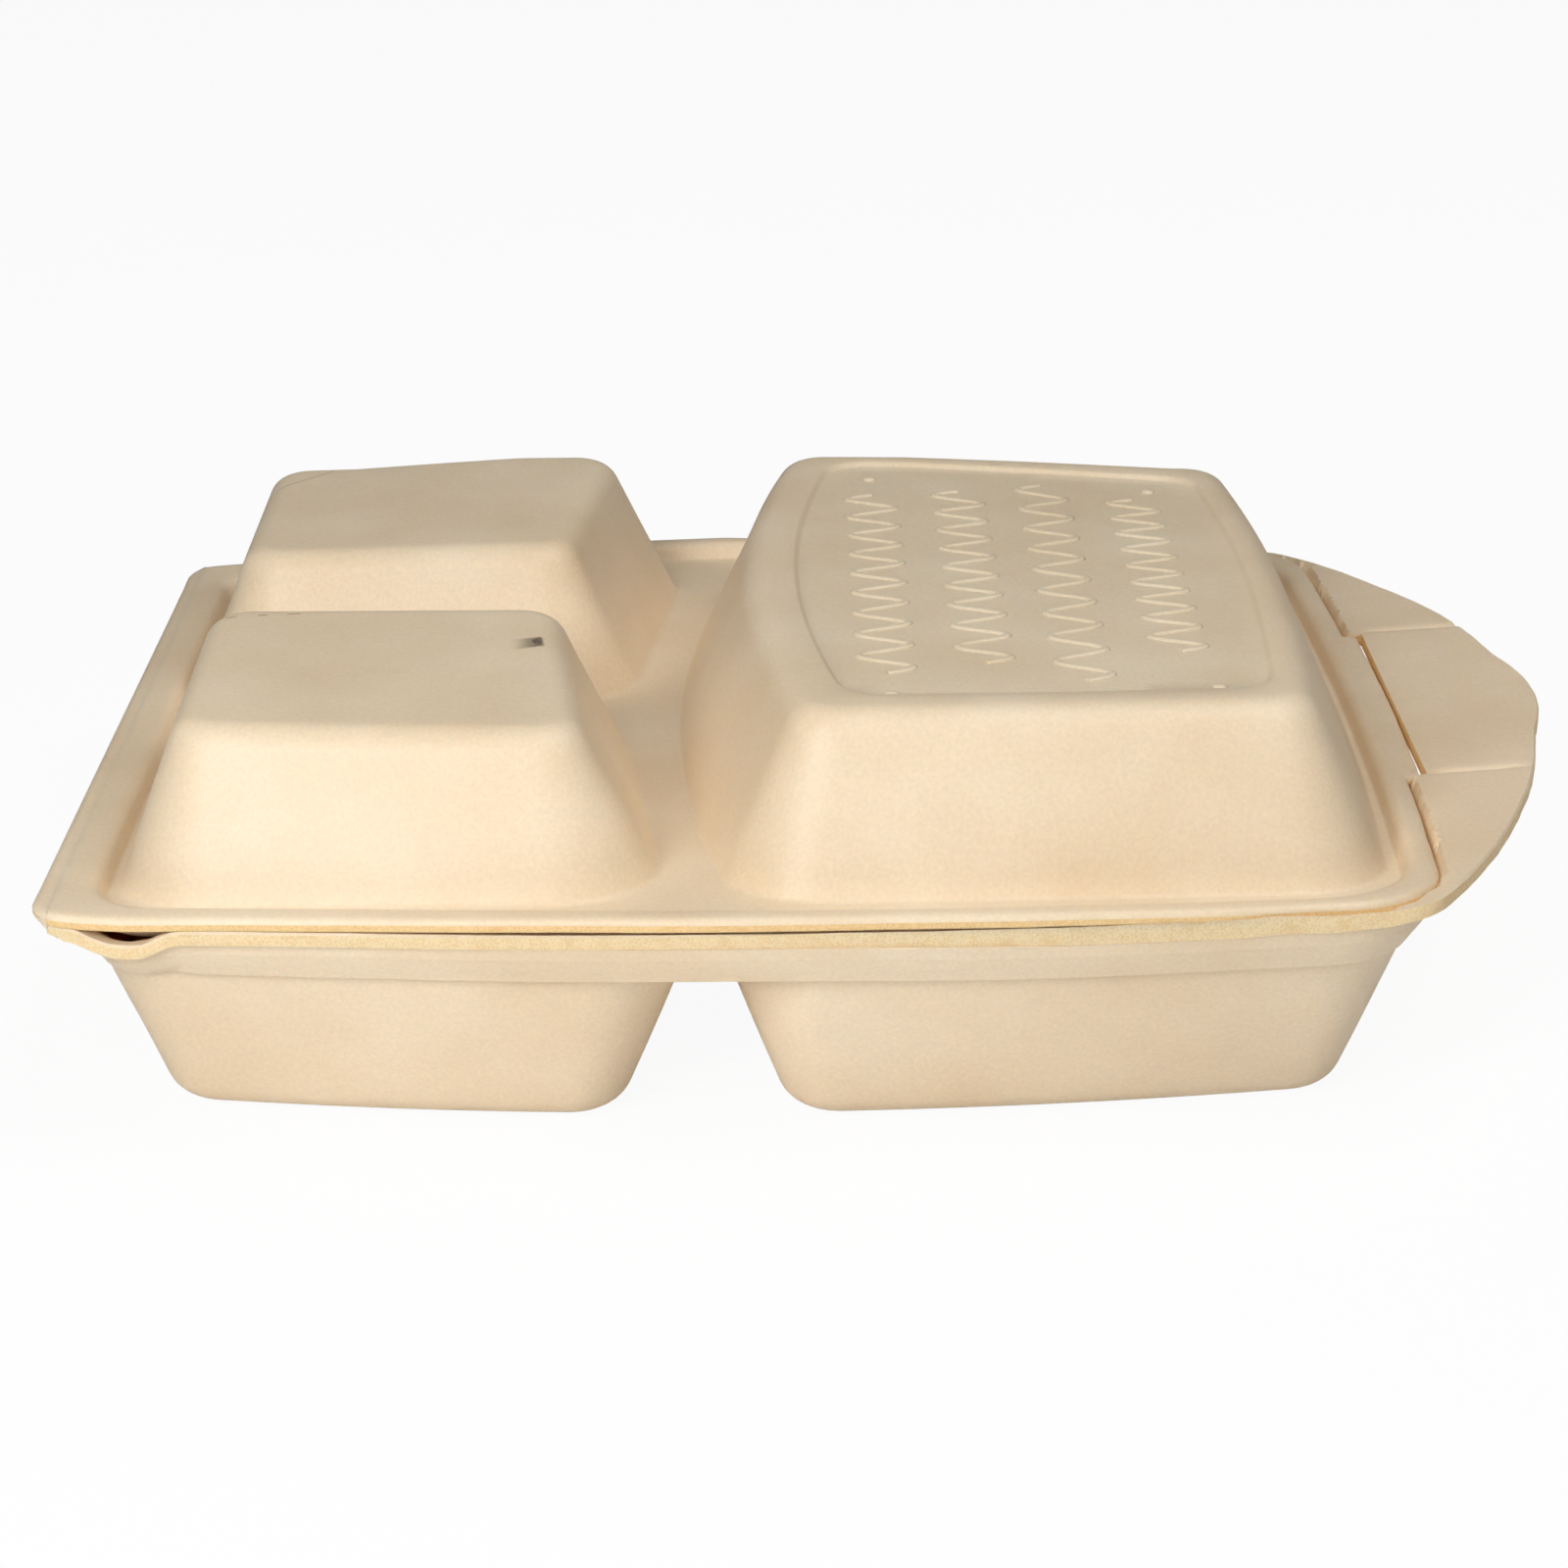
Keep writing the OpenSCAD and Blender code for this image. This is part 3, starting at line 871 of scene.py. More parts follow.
@dataclass(frozen=True)
class LidShell:
    """Lid: flange with tongue, step, web, three domes and the sunk panel."""

    start: float = 10.8
    start_lean: float = 2.4
    split: float = 96.0
    large_start: float = 106.0
    middle_gap: float = 7.6
    side_margin: float = 13.1
    slope: float = 0.45
    small_rise: float = 26.6
    large_rise: float = 27.2
    panel_margin: float = 8.0
    panel_edge: float = 1.3
    panel_depth: float = 0.9
    edge_wave: float = 0.16

    @property
    def side(self) -> float:
        """Half width of the domes where the small ones end and the large one starts."""
        return SIZES.half_at(self.split) - self.side_margin

    @property
    def small(self) -> Bay:
        """Small dome on the far side.

        Returns:
            The dome, from which the near one is mirrored.
        """
        gap = self.middle_gap
        mouth, top = (
            ((x, gap), (87, gap), (self.split, self.side), (x, 87))
            for x in (self.start, self.start - self.start_lean)
        )
        return Bay(
            bay_plan(mouth, (0, 0, 1.0, 0), top), self.small_rise, self.slope, 1, SIZES.lid_web,
            floor_r=6.5, edge_r=5.2, web_r=1.6,
        )

    @property
    def large(self) -> Bay:
        """Large dome beside the front edge.

        Returns:
            The dome.
        """
        mouth = four(self.large_start, 206, self.side, 86.5)
        return Bay(
            bay_plan(mouth, (1.0, 3.0, 1.0, 8.5)), self.large_rise, self.slope, 1, SIZES.lid_web,
            floor_r=7.0, edge_r=5.5, web_r=1.0,
        )

    @property
    def top_z(self) -> float:
        """Level of the large dome's top."""
        return SIZES.lid_web + self.large_rise

    def _panel(self, row: int) -> np.ndarray:
        """Ring of the panel's soft edge, from the dome's top (row 0) to its floor (row 4).

        Args:
            row: number of the row.

        Returns:
            One ring of points.
        """
        x = self.large_start
        plan = Plan(
            ((x, -91.2), (209, -86.5), (209, 84.0), (x, 95.0)), (1.0, 3.0, 1.0, 8.5),
            (8, 8, 8, 8), 10, (30, 30, 30, 30),
        )
        t = row / 4
        inset = self.slope * self.large_rise + self.panel_margin + self.panel_edge * t
        return at(plan.outline(inset), self.top_z - self.panel_depth * float(smooth(t)))

    def _edge(self) -> np.ndarray:
        """Outline of the flange with the tongue on its front edge.

        Returns:
            Plane points, counter-clockwise.
        """
        line = wavy(LID_LINE, self.edge_wave, 4)
        tongue = smooth((SIZES.tongue_half + 0.5 - np.abs(line[:, 1])) / 1.0)
        front = line[:, 0] > SIZES.length - 6
        line[:, 0] += np.where(front, tongue * SIZES.tongue_reach, 0)
        return line

    def step_rows(self, face: Face) -> list[np.ndarray]:
        """Rings of the step that drops from the flange to the web.

        Args:
            face: side of the sheet.

        Returns:
            Rings from the flange to the web.
        """
        slope, depth = SIZES.pan_slope, SIZES.lid_step
        turn = turn_of(slope)
        if face is Face.TOP:
            top_r, low_r, z0, start = 2.3, 0.4, SIZES.lid_top, SIZES.nest_gap + slant(slope)
        else:
            top_r, low_r = 0.1, 3.1
            z0, start = SIZES.lid_z, SIZES.nest_gap + slope * (SIZES.rim_z - SIZES.lid_z)
        rows = bend_out(start, top_r, turn, 5)
        rows += bend_in(start + slope * depth, depth, low_r, turn, 5)
        return [at(PAN.outline(i), z0 - d) for i, d in rows]

    def build(self, finishes: list[bpy.types.Material]) -> bpy.types.Object:
        """Build the lid's mesh.

        Args:
            finishes: the skin, and for the cut edge a darker copy of the cut foam with painted
                shade.

        Returns:
            The lid's object.
        """
        sheet = Sheet("lid_shell", Body.LID)
        edge = self._edge()
        z = SIZES.lid_top
        rim = [at(clipped(eased(edge, inset)), z - drop) for inset, drop in RIM_EDGE]
        sheet.bridge(rim, Face.TOP)
        under = at(clipped(eased(edge, 0.2)), SIZES.lid_z)
        # Slot 1, the lid's cut edge, takes the darker copy of the cut foam, which paints the shade
        # that falls on this edge.
        sheet.bridge([under, at(clipped(edge), SIZES.lid_z + 0.25), rim[0]], Face.TOP, 1)
        for face in Face:
            step = self.step_rows(face)
            outer = face is Face.TOP
            sheet.bridge(step, face)
            sheet.fill(rim[-1] if outer else under, [step[0]], face, 5.0)
            domes = [self.large.rings(outer), *both(self.small, outer)]
            for rings in domes:
                sheet.bridge(rings, face)
            sheet.fill(step[-1], [rings[0] for rings in domes], face, 5.0)
            for rings in domes[1:]:
                sheet.fill(rings[-1], [], face, 6.0)
            top = domes[0][-1]
            if outer:
                sheet.fill(top, [self._panel(0)], face, 5.0)
                rows = [self._panel(k) for k in range(5)]
                sheet.bridge(rows, face)
                sheet.fill(rows[-1], [], face, 5.0)
            else:
                sheet.fill(top, [], face, 6.0)
        piece = sheet.make(finishes)
        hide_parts("lid")
        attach(piece, Body.LID.value)
        return piece

@dataclass(frozen=True)
class TrayShell:
    """Base: rim with locking tab and slit, pan, web and three compartments."""

    start: float = 8.2
    split: float = 100.8
    large_start: float = 106.4
    large_end: float = 208.2
    margin: float = 5.4
    middle_gap: float = 4.0
    slope: float = 0.4
    web_r: float = 0.6
    lip_start: float = 100.0
    lip_side: float = 84.0
    crease_width: float = 0.7
    edge_wave: float = 0.2

    def _bow(self, run: float) -> float:
        """Bow of a compartment's side, as the rim's side has over the same run."""
        return SIZES.side_bow / (SIZES.length - SIZES.rim_flat_front) ** 2 * run**2

    def _bay(self, plan: Plan) -> Bay:
        """Compartment on a plan."""
        depth = SIZES.pan_web - SIZES.sheet
        return Bay(plan, depth, self.slope, -1, depth, web_r=self.web_r)

    @property
    def small(self) -> Bay:
        """Small compartment on the far side.

        Returns:
            The compartment, from which the near one is mirrored.
        """
        side, fold = SIZES.half_at(self.split) - self.margin, SIZES.fold_half - self.margin
        gap = self.middle_gap
        mouth, floor = (
            ((x, gap), (92, gap), (self.split, side), (x, fold))
            for x in (self.start, self.start - 0.7)
        )
        return self._bay(bay_plan(mouth, (0, 0, self._bow(self.split - self.start), 0), floor))

    @property
    def large(self) -> Bay:
        """Large compartment beside the tab.

        Returns:
            The compartment.
        """
        side, front = SIZES.half_at(self.split) - self.margin, SIZES.front_half - self.margin
        back, end = self.large_start, self.large_end
        bow = self._bow(end - back)
        return self._bay(
            bay_plan(
                four(back, end, side, front),
                (bow, SIZES.front_bow, bow, 8.5),
                four(back, end + 1.3, side, front - 5),
            )
        )

    def level(self, flat: np.ndarray) -> np.ndarray:
        """Level of the rim and the tab at places in plan.

        Args:
            flat: plane points.

        Returns:
            Heights of the sheet's upper face.
        """
        x, y = flat[:, 0], np.abs(flat[:, 1])
        away = outside_by(flat[:, :2], LID_LINE) * (x > self.lip_start)
        lift = SIZES.lip_height * smooth((away - read(WEDGE, y)) / SIZES.lip_run)
        lift += SIZES.lip_roll * smooth((away - 1) / 5)
        lift *= 1 - smooth((y - self.lip_side) / 10) * (1 - read(SIDE_LIP, x))
        lift += SIZES.tab_rise * np.clip((x - SIZES.lip_x - 3) / 22, 0, 1)
        groove = np.exp(-(((y - SIZES.crease_y) / self.crease_width) ** 2))
        groove *= smooth((away - 2.4) / 1.5)
        return SIZES.rim_z - read(DIP, x) + lift - SIZES.crease_depth * groove

    def under(self, flat: np.ndarray) -> np.ndarray:
        """Level of the rim's underside at places in plan."""
        return self.level(flat) - self.depth(flat)

    def depth(self, flat: np.ndarray) -> np.ndarray:
        """Thickness of the sheet at places in plan, pinched at the two ends of the fold."""
        x, y = flat[:, 0], np.abs(flat[:, 1])
        return SIZES.sheet * (1 - SIZES.pinch * smooth((6 - x) / 3.5) * smooth((y - 82) / 8))

    def _edge(self) -> np.ndarray:
        """Outline of the rim and the tab.

        Returns:
            Plane points, counter-clockwise.
        """
        centre = SIZES.length + SIZES.tab_reach - SIZES.tab_radius
        square = FLANGE.outline(0, radii=(SIZES.fold_corner, 1.0, 1.0, SIZES.fold_corner))
        side = square[: FLANGE.arc_steps + 1 + FLANGE.side_steps[0]]
        side = side[side[:, 1] < 0]
        side = side[np.hypot(side[:, 0] - centre, side[:, 1]) < SIZES.tab_radius - 0.2]
        meet = math.acos((side[-1][0] - centre) / SIZES.tab_radius)
        lobe_sag = SIZES.lobe_reach + SIZES.tab_radius - math.sqrt(
            SIZES.tab_radius**2 - SIZES.lobe_half**2
        )
        lobe_r = (SIZES.lobe_half**2 + lobe_sag**2) / (2 * lobe_sag)
        lobe_a = math.asin(SIZES.lobe_half / SIZES.tab_radius)
        arc = [
            (centre + SIZES.tab_radius * math.cos(a), -SIZES.tab_radius * math.sin(a))
            for a in np.linspace(meet - 0.003, lobe_a, 50)
        ]
        swing = math.asin(SIZES.lobe_half / lobe_r)
        lobe = [
            (SIZES.overall - lobe_r + lobe_r * math.cos(a), -lobe_r * math.sin(a))
            for a in np.linspace(swing, 0, 16)[1:]
        ]
        near = np.array([*map(tuple, side), *arc, *lobe])
        far = near[::-1][1:].copy()
        far[:, 1] *= -1
        line = self._rounded(self._respaced(np.concatenate([near, far]), 1.5), 2)
        soft = self._rounded(line, 3)
        corner = smooth((np.abs(line[:, 1]) - 70) / 14) * smooth((line[:, 0] - 180) / 14)
        line = line + (soft - line) * corner[:, None]
        front = smooth((line[:, 0] - 200) / 8)
        line[:, 0] += SIZES.tab_push * smooth((-line[:, 1] - 50) / 45) * front
        line[:, 0] -= SIZES.tab_pull * smooth((line[:, 1] - 40) / 40) * front
        return line

    @staticmethod
    def _respaced(line: np.ndarray, spacing: float) -> np.ndarray:
        """Space the points of a closed outline evenly.

        Args:
            line: closed outline.
            spacing: distance between points in millimetres.

        Returns:
            The outline with new points.
        """
        closed = np.concatenate([line, line[:1]])
        step = np.linalg.norm(np.diff(closed, axis=0), axis=1)
        run = np.concatenate([[0], np.cumsum(step)])
        marks = np.linspace(0, run[-1], int(run[-1] / spacing) + 1)[:-1]
        return np.column_stack([np.interp(marks, run, closed[:, i]) for i in (0, 1)])

    @staticmethod
    def _rounded(line: np.ndarray, rounds: int) -> np.ndarray:
        """Soften the corners of a closed outline by averaging neighbours.

        Args:
            line: closed outline.
            rounds: how many times to average.

        Returns:
            The softened outline.
        """
        out = line
        for _ in range(rounds):
            out = (np.roll(out, 1, axis=0) + 2 * out + np.roll(out, -1, axis=0)) / 4
        return out

    def _slit(self) -> np.ndarray:
        """Outline of the slit, with a small hook at each end.

        Returns:
            Plane points of the closed slit.
        """
        x0 = SIZES.slit_x
        x1 = x0 + SIZES.tongue_reach - 0.4 + SIZES.slit_gap
        end = SIZES.tongue_half + SIZES.slit_gap
        ys = np.linspace(-end, end, 70)
        inner = [(x0 - (1.1 if abs(y) > end - 1.6 else 0.0), y) for y in ys]
        outer = [(x1, y) for y in ys]
        return np.array(outer + inner[::-1])

    def pan_rows(self, face: Face) -> list[np.ndarray]:
        """Rings of the pan's wall from the rim to the web.

        Args:
            face: side of the sheet.

        Returns:
            Rings from the rim down to the web.
        """
        slope = SIZES.pan_slope
        if face is Face.TOP:
            top_r, shift, z0, foot, plan = 2.3, 0.0, 0.0, 2.3, PAN
        else:
            top_r, shift, z0 = 0.3, slope * SIZES.sheet - slant(slope), SIZES.sheet
            foot, plan = 2.6, PAN_UNDER
        rows = bend_out(shift, top_r, turn_of(slope), 4)
        for below, step in LEDGE:
            d = SIZES.ledge_depth - z0 * 0.9 + below
            if d > rows[-1][1]:
                rows.append((shift + slope * d + SIZES.ledge_width * step, d))
        depth = SIZES.pan_depth
        last = rows[-1]
        rows.append(((last[0] + foot) / 2, (last[1] + depth) / 2))
        rows.append((foot, depth))
        out = []
        for inset, d in rows:
            t = min(1.0, d / depth)
            ring = plan.outline(inset, t)
            top = self.level(ring) - z0
            floor = SIZES.rim_z - z0 - depth
            out.append(at(ring, (top - d) * (1 - t) + (floor + depth - d) * t))
        return out

    def build(self, finishes: list[bpy.types.Material]) -> bpy.types.Object:
        """Build the base's mesh.

        Args:
            finishes: the skin, the cut edge, and a darker copy of the cut foam with painted shade
                for the slit's walls.

        Returns:
            The base's object.
        """
        sheet = Sheet("tray_shell", Body.BASE)
        edge = wavy(self._edge(), self.edge_wave, 11)
        slit = self._slit()
        lines = []
        for face in Face:
            outer = face is Face.UNDER
            level = self.under if outer else self.level
            outline = clipped(eased(edge, 0.06 if outer else 0.3))
            rim, hole = (at(line, level(line)) for line in (outline, slit))
            lines.append((rim, hole))
            pan = self.pan_rows(face)
            pan[0] = kept_inside(pan[0], rim)
            pan[0][:, 0] = np.minimum(pan[0][:, 0], SIZES.slit_x - 0.12)
            sheet.bridge(pan, face)
            sheet.fill(rim, [pan[0], hole], face, 5.0, level, self._tab_points())
            bays = [self.large.rings(outer), *both(self.small, outer)]
            for rings in bays:
                sheet.bridge(rings, face)
                sheet.fill(rings[-1], [], face, 6.0)
            sheet.fill(pan[-1], [rings[0] for rings in bays], face, 5.0)
        (top_rim, top_hole), (low_rim, low_hole) = lines
        edge = clipped(edge)
        curl = read(CURL, edge[:, 0]) * smooth((-edge[:, 1] - 60) / 20)
        brow = at(edge, self.level(edge) - 0.35 + curl)
        chin = at(edge, self.under(edge) + 0.12)
        sheet.bridge([brow, top_rim], Face.TOP)
        sheet.bridge([low_rim, chin, brow], Face.TOP, 1)
        # The slit's walls take the darker copy of the cut foam: painted shade.
        sheet.bridge([top_hole, low_hole], Face.TOP, 2)
        piece = sheet.make(finishes)
        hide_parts("base")
        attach(piece, Body.BASE.value)
        return piece

    def _tab_points(self) -> np.ndarray:
        """Plane points that follow the lip, the creases and the tab.

        Returns:
            Plane points in millimetres from the fold.
        """
        lip = np.linspace(SIZES.lip_x, SIZES.lip_x + 3, 8)
        xs = np.concatenate([lip, np.arange(221, 244, 2.0)])
        line = SIZES.crease_y
        ys = [*np.arange(-44, 45, 2.4)] + [s * (line + d) for s in (-1, 1) for d in CREASE_MARKS]
        grid = [(x, y) for x in xs for y in ys]
        base = self._respaced(LID_LINE, 1.4)
        for gap in LIP_MARKS:
            ring = eased(base, -gap)
            grid += [tuple(p) for p in ring if p[0] > 176 and abs(p[1]) > line + 1.6]
        sides = (*np.arange(-101, -90, 1.5), *np.arange(91, 102, 1.5))
        return np.array(grid + [(x, y) for x in DIP_MARKS for y in sides])


@dataclass(frozen=True)
class FoldStrip:
    """Rolled strip of the sheet that joins the base and the lid along the fold."""

    pinch: float = 0.4
    rise: float = 0.7
    reach: float = 3.0
    turn_x: float = 1.4
    turn_half: float = 0.0012

    def section(self) -> list[tuple[float, float]]:
        """Points of the strip's section, from the base's underside round to the lid's top.

        Returns:
            Pairs of place and height in millimetres.
        """
        low, mid, top = SIZES.rim_z - SIZES.sheet - 0.4, SIZES.fold_z, SIZES.lid_top
        return [
            (3.0, low), (1.9, low + 0.05), (0.9, low + 0.45), (0.25, low + 1.15),
            (0.05, mid - 0.75), (0.3, mid - 0.25), (0.55, mid), (0.3, mid + 0.25),
            (0.05, mid + 0.75), (0.2, top - 1.0), (0.7, top - 0.4), (1.5, top - 0.08),
            (3.0, top), (3.0, mid + 0.5), (3.0, mid - 0.5),
        ]

    def build(self, finishes: list[bpy.types.Material]) -> bpy.types.Object:
        """Build the strip, its lower part following the base's arch and its upper part the lid's.

        Args:
            finishes: the skin and the cut edge.

        Returns:
            The strip's object.
        """
        sheet = Sheet("fold_strip", Body.LID)
        section = np.array(self.section())
        line = FLANGE.outline(0)
        ends = line[(line[:, 0] < SIZES.sheet_start) & (line[:, 1] > 0)]
        ends = ends[np.argsort(ends[:, 1])]
        mid = SIZES.fold_z
        rings = []
        low = (mid - section[:, 1]) / (mid - section[0, 1])
        for y in np.linspace(-ends[-1][1], ends[-1][1], 181):
            out = float(np.interp(abs(y), ends[:, 1], ends[:, 0]))
            x = out + section[:, 0] / self.reach * (self.reach - out)
            end = float(smooth((abs(y) - 82) / 8))
            free = 1 - section[:, 0] / self.reach
            z = section[:, 1] + np.maximum(low, 0) * SIZES.sheet * SIZES.pinch * 0.97 * end
            z = mid + (z - mid) * (1 - self.pinch * end * free) + self.rise * end * free
            ring = np.column_stack([x, np.full(len(x), y), z])
            lag = SETTLING[Body.BASE].apply(ring)[:, 2] - SETTLING[Body.LID].apply(ring)[:, 2]
            ring[:, 2] += lag * smooth((low + 0.3) / 0.6)
            rings.append(ring)
        sheet.bridge(rings, Face.UNDER)
        n = len(section)
        sheet.add(rings[0], [tuple(range(n))], 1)
        sheet.add(rings[-1], [tuple(range(n))[::-1]], 1)
        piece = sheet.make(finishes, 50.0)
        work = bmesh.new()
        work.from_mesh(piece.data)
        bmesh.ops.recalc_face_normals(work, faces=work.faces)
        bmesh.ops.triangulate(work, faces=[f for f in work.faces if len(f.verts) > 4])
        work.to_mesh(piece.data)
        work.free()
        x, mid = (self.turn_x - SIZES.overall / 2) / 1000, SIZES.fold_z / 1000
        ends = [(x, 0, mid + side * self.turn_half) for side in (-1, 1)]
        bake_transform(piece)
        return piece


class Tree:
    """Short way to build a node tree."""

    def __init__(self, tree: bpy.types.NodeTree) -> None:
        """Wrap a node tree."""
        self.tree = tree

    def add(self, kind: str, links: dict | None = None, **settings) -> bpy.types.Node:
        """Add a node, set its values and link its inputs.

        Args:
            kind: type name of the node.
            links: input name or number to a socket or a value.
            settings: attributes of the node.

        Returns:
            The new node.
        """
        node = self.tree.nodes.new(kind)
        for name, value in settings.items():
            setattr(node, name, value)
        for key, value in (links or {}).items():
            if isinstance(value, bpy.types.NodeSocket):
                self.tree.links.new(value, node.inputs[key])
            else:
                node.inputs[key].default_value = value
        return node

    def get(self, kind: str, links: dict | None = None, **settings) -> Socket:
        """Add a node and return its first output."""
        return self.add(kind, links, **settings).outputs[0]

    def calc(self, operation: str, first: Socket | float, second: Socket | float = 0.5) -> Socket:
        """Add a math node and return its result."""
        return self.get("ShaderNodeMath", {0: first, 1: second}, operation=operation)

    def vector(self, operation: str, links: dict) -> Socket:
        """Add a vector math node and return its result, a vector or a number."""
        node = self.add("ShaderNodeVectorMath", links, operation=operation)
        return node.outputs["Value" if operation in ("DOT_PRODUCT", "DISTANCE") else "Vector"]

    def ramp(
        self, value: Socket, low: float, high: float, to_low: float = 0.0, to_high: float = 1.0
    ) -> Socket:
        """Map values from one range to another."""
        source = {"Value": value, "From Min": low, "From Max": high}
        return self.get("ShaderNodeMapRange", {**source, "To Min": to_low, "To Max": to_high})

    def mix(self, share: Socket, first: Socket | Colour, second: Socket | Colour) -> Socket:
        """Mix two colours."""
        links = {0: share, 6: first, 7: second}
        return self.add("ShaderNodeMix", links, data_type="RGBA").outputs[2]

    def bump(self, links: dict, strength: float, distance: float, **settings) -> Socket:
        """Add a bump for a height, on top of a normal where one is given."""
        return self.get(
            "ShaderNodeBump", {**links, "Strength": strength, "Distance": distance}, **settings
        )

    def end_as_foam(self, values: dict) -> None:
        """End a material with the shader of foam, into which light goes a little way.

        Args:
            values: the shader's other inputs.
        """
        depth = {"Subsurface Radius": (0.003, 0.002, 0.001), "Subsurface Scale": 1.0}
        shader = self.get("ShaderNodeBsdfPrincipled", {**values, **depth})
        self.add("ShaderNodeOutputMaterial", {"Surface": shader})


def new_material(name: str) -> tuple[bpy.types.Material, Tree]:
    """Make an empty material and return it with its tree.

    Args:
        name: name of the material.

    Returns:
        The material and its tree.
    """
    material = bpy.data.materials.new(name)
    material.use_nodes = True
    material.node_tree.nodes.clear()
    return material, Tree(material.node_tree)


def linear(rgb: tuple[int, int, int]) -> Colour:
    """Turn a display colour into a linear one.

    Args:
        rgb: red, green and blue, 0 to 255.

    Returns:
        The linear colour with alpha 1.
    """
    out = []
    for c in rgb:
        s = c / 255
        out.append(s / 12.92 if s <= 0.04045 else ((s + 0.055) / 1.055) ** 2.4)
    return (*out, 1.0)


FLATTEN = np.array([1.0, 1.0, 0.2])


@dataclass(frozen=True)
class Mark:
    """Short scratch or nick in the skin, from start to end in millimetres at the fold."""

    start: tuple[float, float, float]
    end: tuple[float, float, float]
    width: float

    def add(self, tree: Tree, place: Socket) -> Socket:
        """Add the nodes of the mark.

        Args:
            tree: tree of the material.
            place: position socket.

        Returns:
            Socket that is 1 in the middle of the mark and 0 outside it.
        """
        a, b = to_row(np.array([self.start, self.end]), Body.LID) * FLATTEN
        run = b - a
        gap = tree.vector("SUBTRACT", {0: place, 1: tuple(a)})
        share = tuple(run / max(1e-12, float(run @ run)))
        along = tree.vector("DOT_PRODUCT", {0: gap, 1: share})
        along = tree.get("ShaderNodeClamp", {"Value": along})
        foot = tree.vector("SCALE", {0: tuple(run), "Scale": along})
        return tree.ramp(tree.vector("DISTANCE", {0: gap, 1: foot}), self.width / 1000, 0.0)


MARKS = (
    Mark((7.3, -98.6, 38.0), (7.3, -97.0, 38.5), 0.17),
    Mark((14.5, -99.4, 38.0), (14.5, -97.8, 38.5), 0.17),
    Mark((22.8, -24.9, 62.2), (24.0, -24.6, 62.2), 0.42),
    Mark((28.0, -23.9, 62.2), (28.9, -23.8, 62.2), 0.4),
    Mark((32.7, -23.4, 62.2), (34.4, -23.2, 62.2), 0.38),
    Mark((21.0, 61.6, 62.0), (30.6, 73.5, 62.0), 0.2),
    Mark((80.3, -38.2, 52.0), (80.8, -38.7, 52.0), 0.5),
    Mark((87.3, -84.1, 37.0), (88.0, -84.6, 37.0), 0.42),
)


@dataclass(frozen=True)
class FoamSkin:
    """Smooth pressed skin of the foam: cream, slightly mottled, with fine grain and a few nicks."""

    name: str = "foam_skin"
    bruise: tuple[int, int, int] = (196, 160, 112)
    pale: tuple[int, int, int] = (243, 223, 194)
    deep: tuple[int, int, int] = (235, 212, 179)
    grain: float = 0.00004
    nick: float = 0.0003
    wave: float = 0.0006

    def make(self) -> bpy.types.Material:
        """Build the material.

        Returns:
            The material.
        """
        material, tree = new_material(self.name)
        place = tree.add("ShaderNodeTexCoord").outputs["Object"]
        cloud = tree.get(
            "ShaderNodeTexNoise", {"Vector": place, "Scale": 34.0, "Detail": 2.5, "Roughness": 0.6}
        )
        fine = tree.get("ShaderNodeTexNoise", {"Vector": place, "Scale": 1500.0, "Detail": 1.0})
        cells = tree.get("ShaderNodeTexVoronoi", {"Vector": place, "Scale": 900.0})
        tint = tree.mix(tree.ramp(cloud, 0.3, 0.7), linear(self.deep), linear(self.pale))
        speck = tree.ramp(fine, 0.3, 0.75, 0.955, 1.03)
        shade = tree.vector("MULTIPLY", {0: tint, 1: speck})
        flat = tree.vector("MULTIPLY", {0: place, 1: tuple(FLATTEN)})
        worn = 0.0
        for mark in MARKS:
            worn = tree.calc("MAXIMUM", mark.add(tree, flat), worn)
        grain = tree.bump({"Height": tree.calc("ADD", fine, cells)}, 0.55, self.grain)
        dent = tree.bump({"Height": worn, "Normal": grain}, 0.8, self.nick, invert=True)
        tree.end_as_foam({
            "Base Color": tree.mix(worn, shade, linear(self.bruise)),
            "Roughness": tree.ramp(cloud, 0.0, 1.0, 0.42, 0.58),
            "Normal": tree.bump({"Height": cloud, "Normal": dent}, 0.5, self.wave),
            "Specular IOR Level": 0.5,
            "Subsurface Weight": 0.25,
        })
        return material


@dataclass(frozen=True)
class CutFoam:
    """Cut edge of the sheet, where the open cells show."""

    name: str = "cut_foam"
    pale: tuple[int, int, int] = (243, 219, 178)
    deep: tuple[int, int, int] = (232, 200, 150)
    pore: float = 0.0001

    def make(self) -> bpy.types.Material:
        """Build the material.

        Returns:
            The material.
        """
        material, tree = new_material(self.name)
        place = tree.add("ShaderNodeTexCoord").outputs["Object"]
        cells = tree.get("ShaderNodeTexVoronoi", {"Vector": place, "Scale": 2600.0})
        drift = tree.get("ShaderNodeTexNoise", {"Vector": place, "Scale": 420.0, "Detail": 5.0})
        pores = tree.calc("MULTIPLY", cells, drift)
        tree.end_as_foam({
            "Base Color": tree.mix(
                tree.ramp(pores, 0.06, 0.34), linear(self.deep), linear(self.pale)
            ),
            "Roughness": 0.75,
            "Normal": tree.bump({"Height": pores}, 0.5, self.pore),
            "Specular IOR Level": 0.25,
            "Subsurface Weight": 0.3,
        })
        return material


def socket_id(group: bpy.types.NodeTree, name: str) -> str:
    """Identifier of a group's input with this name.

    Args:
        group: the node group.
        name: name of the input.

    Returns:
        The identifier.
    """
    for item in group.interface.items_tree:
        if item.name == name and item.in_out == "INPUT":
            return item.identifier
    raise KeyError(name)


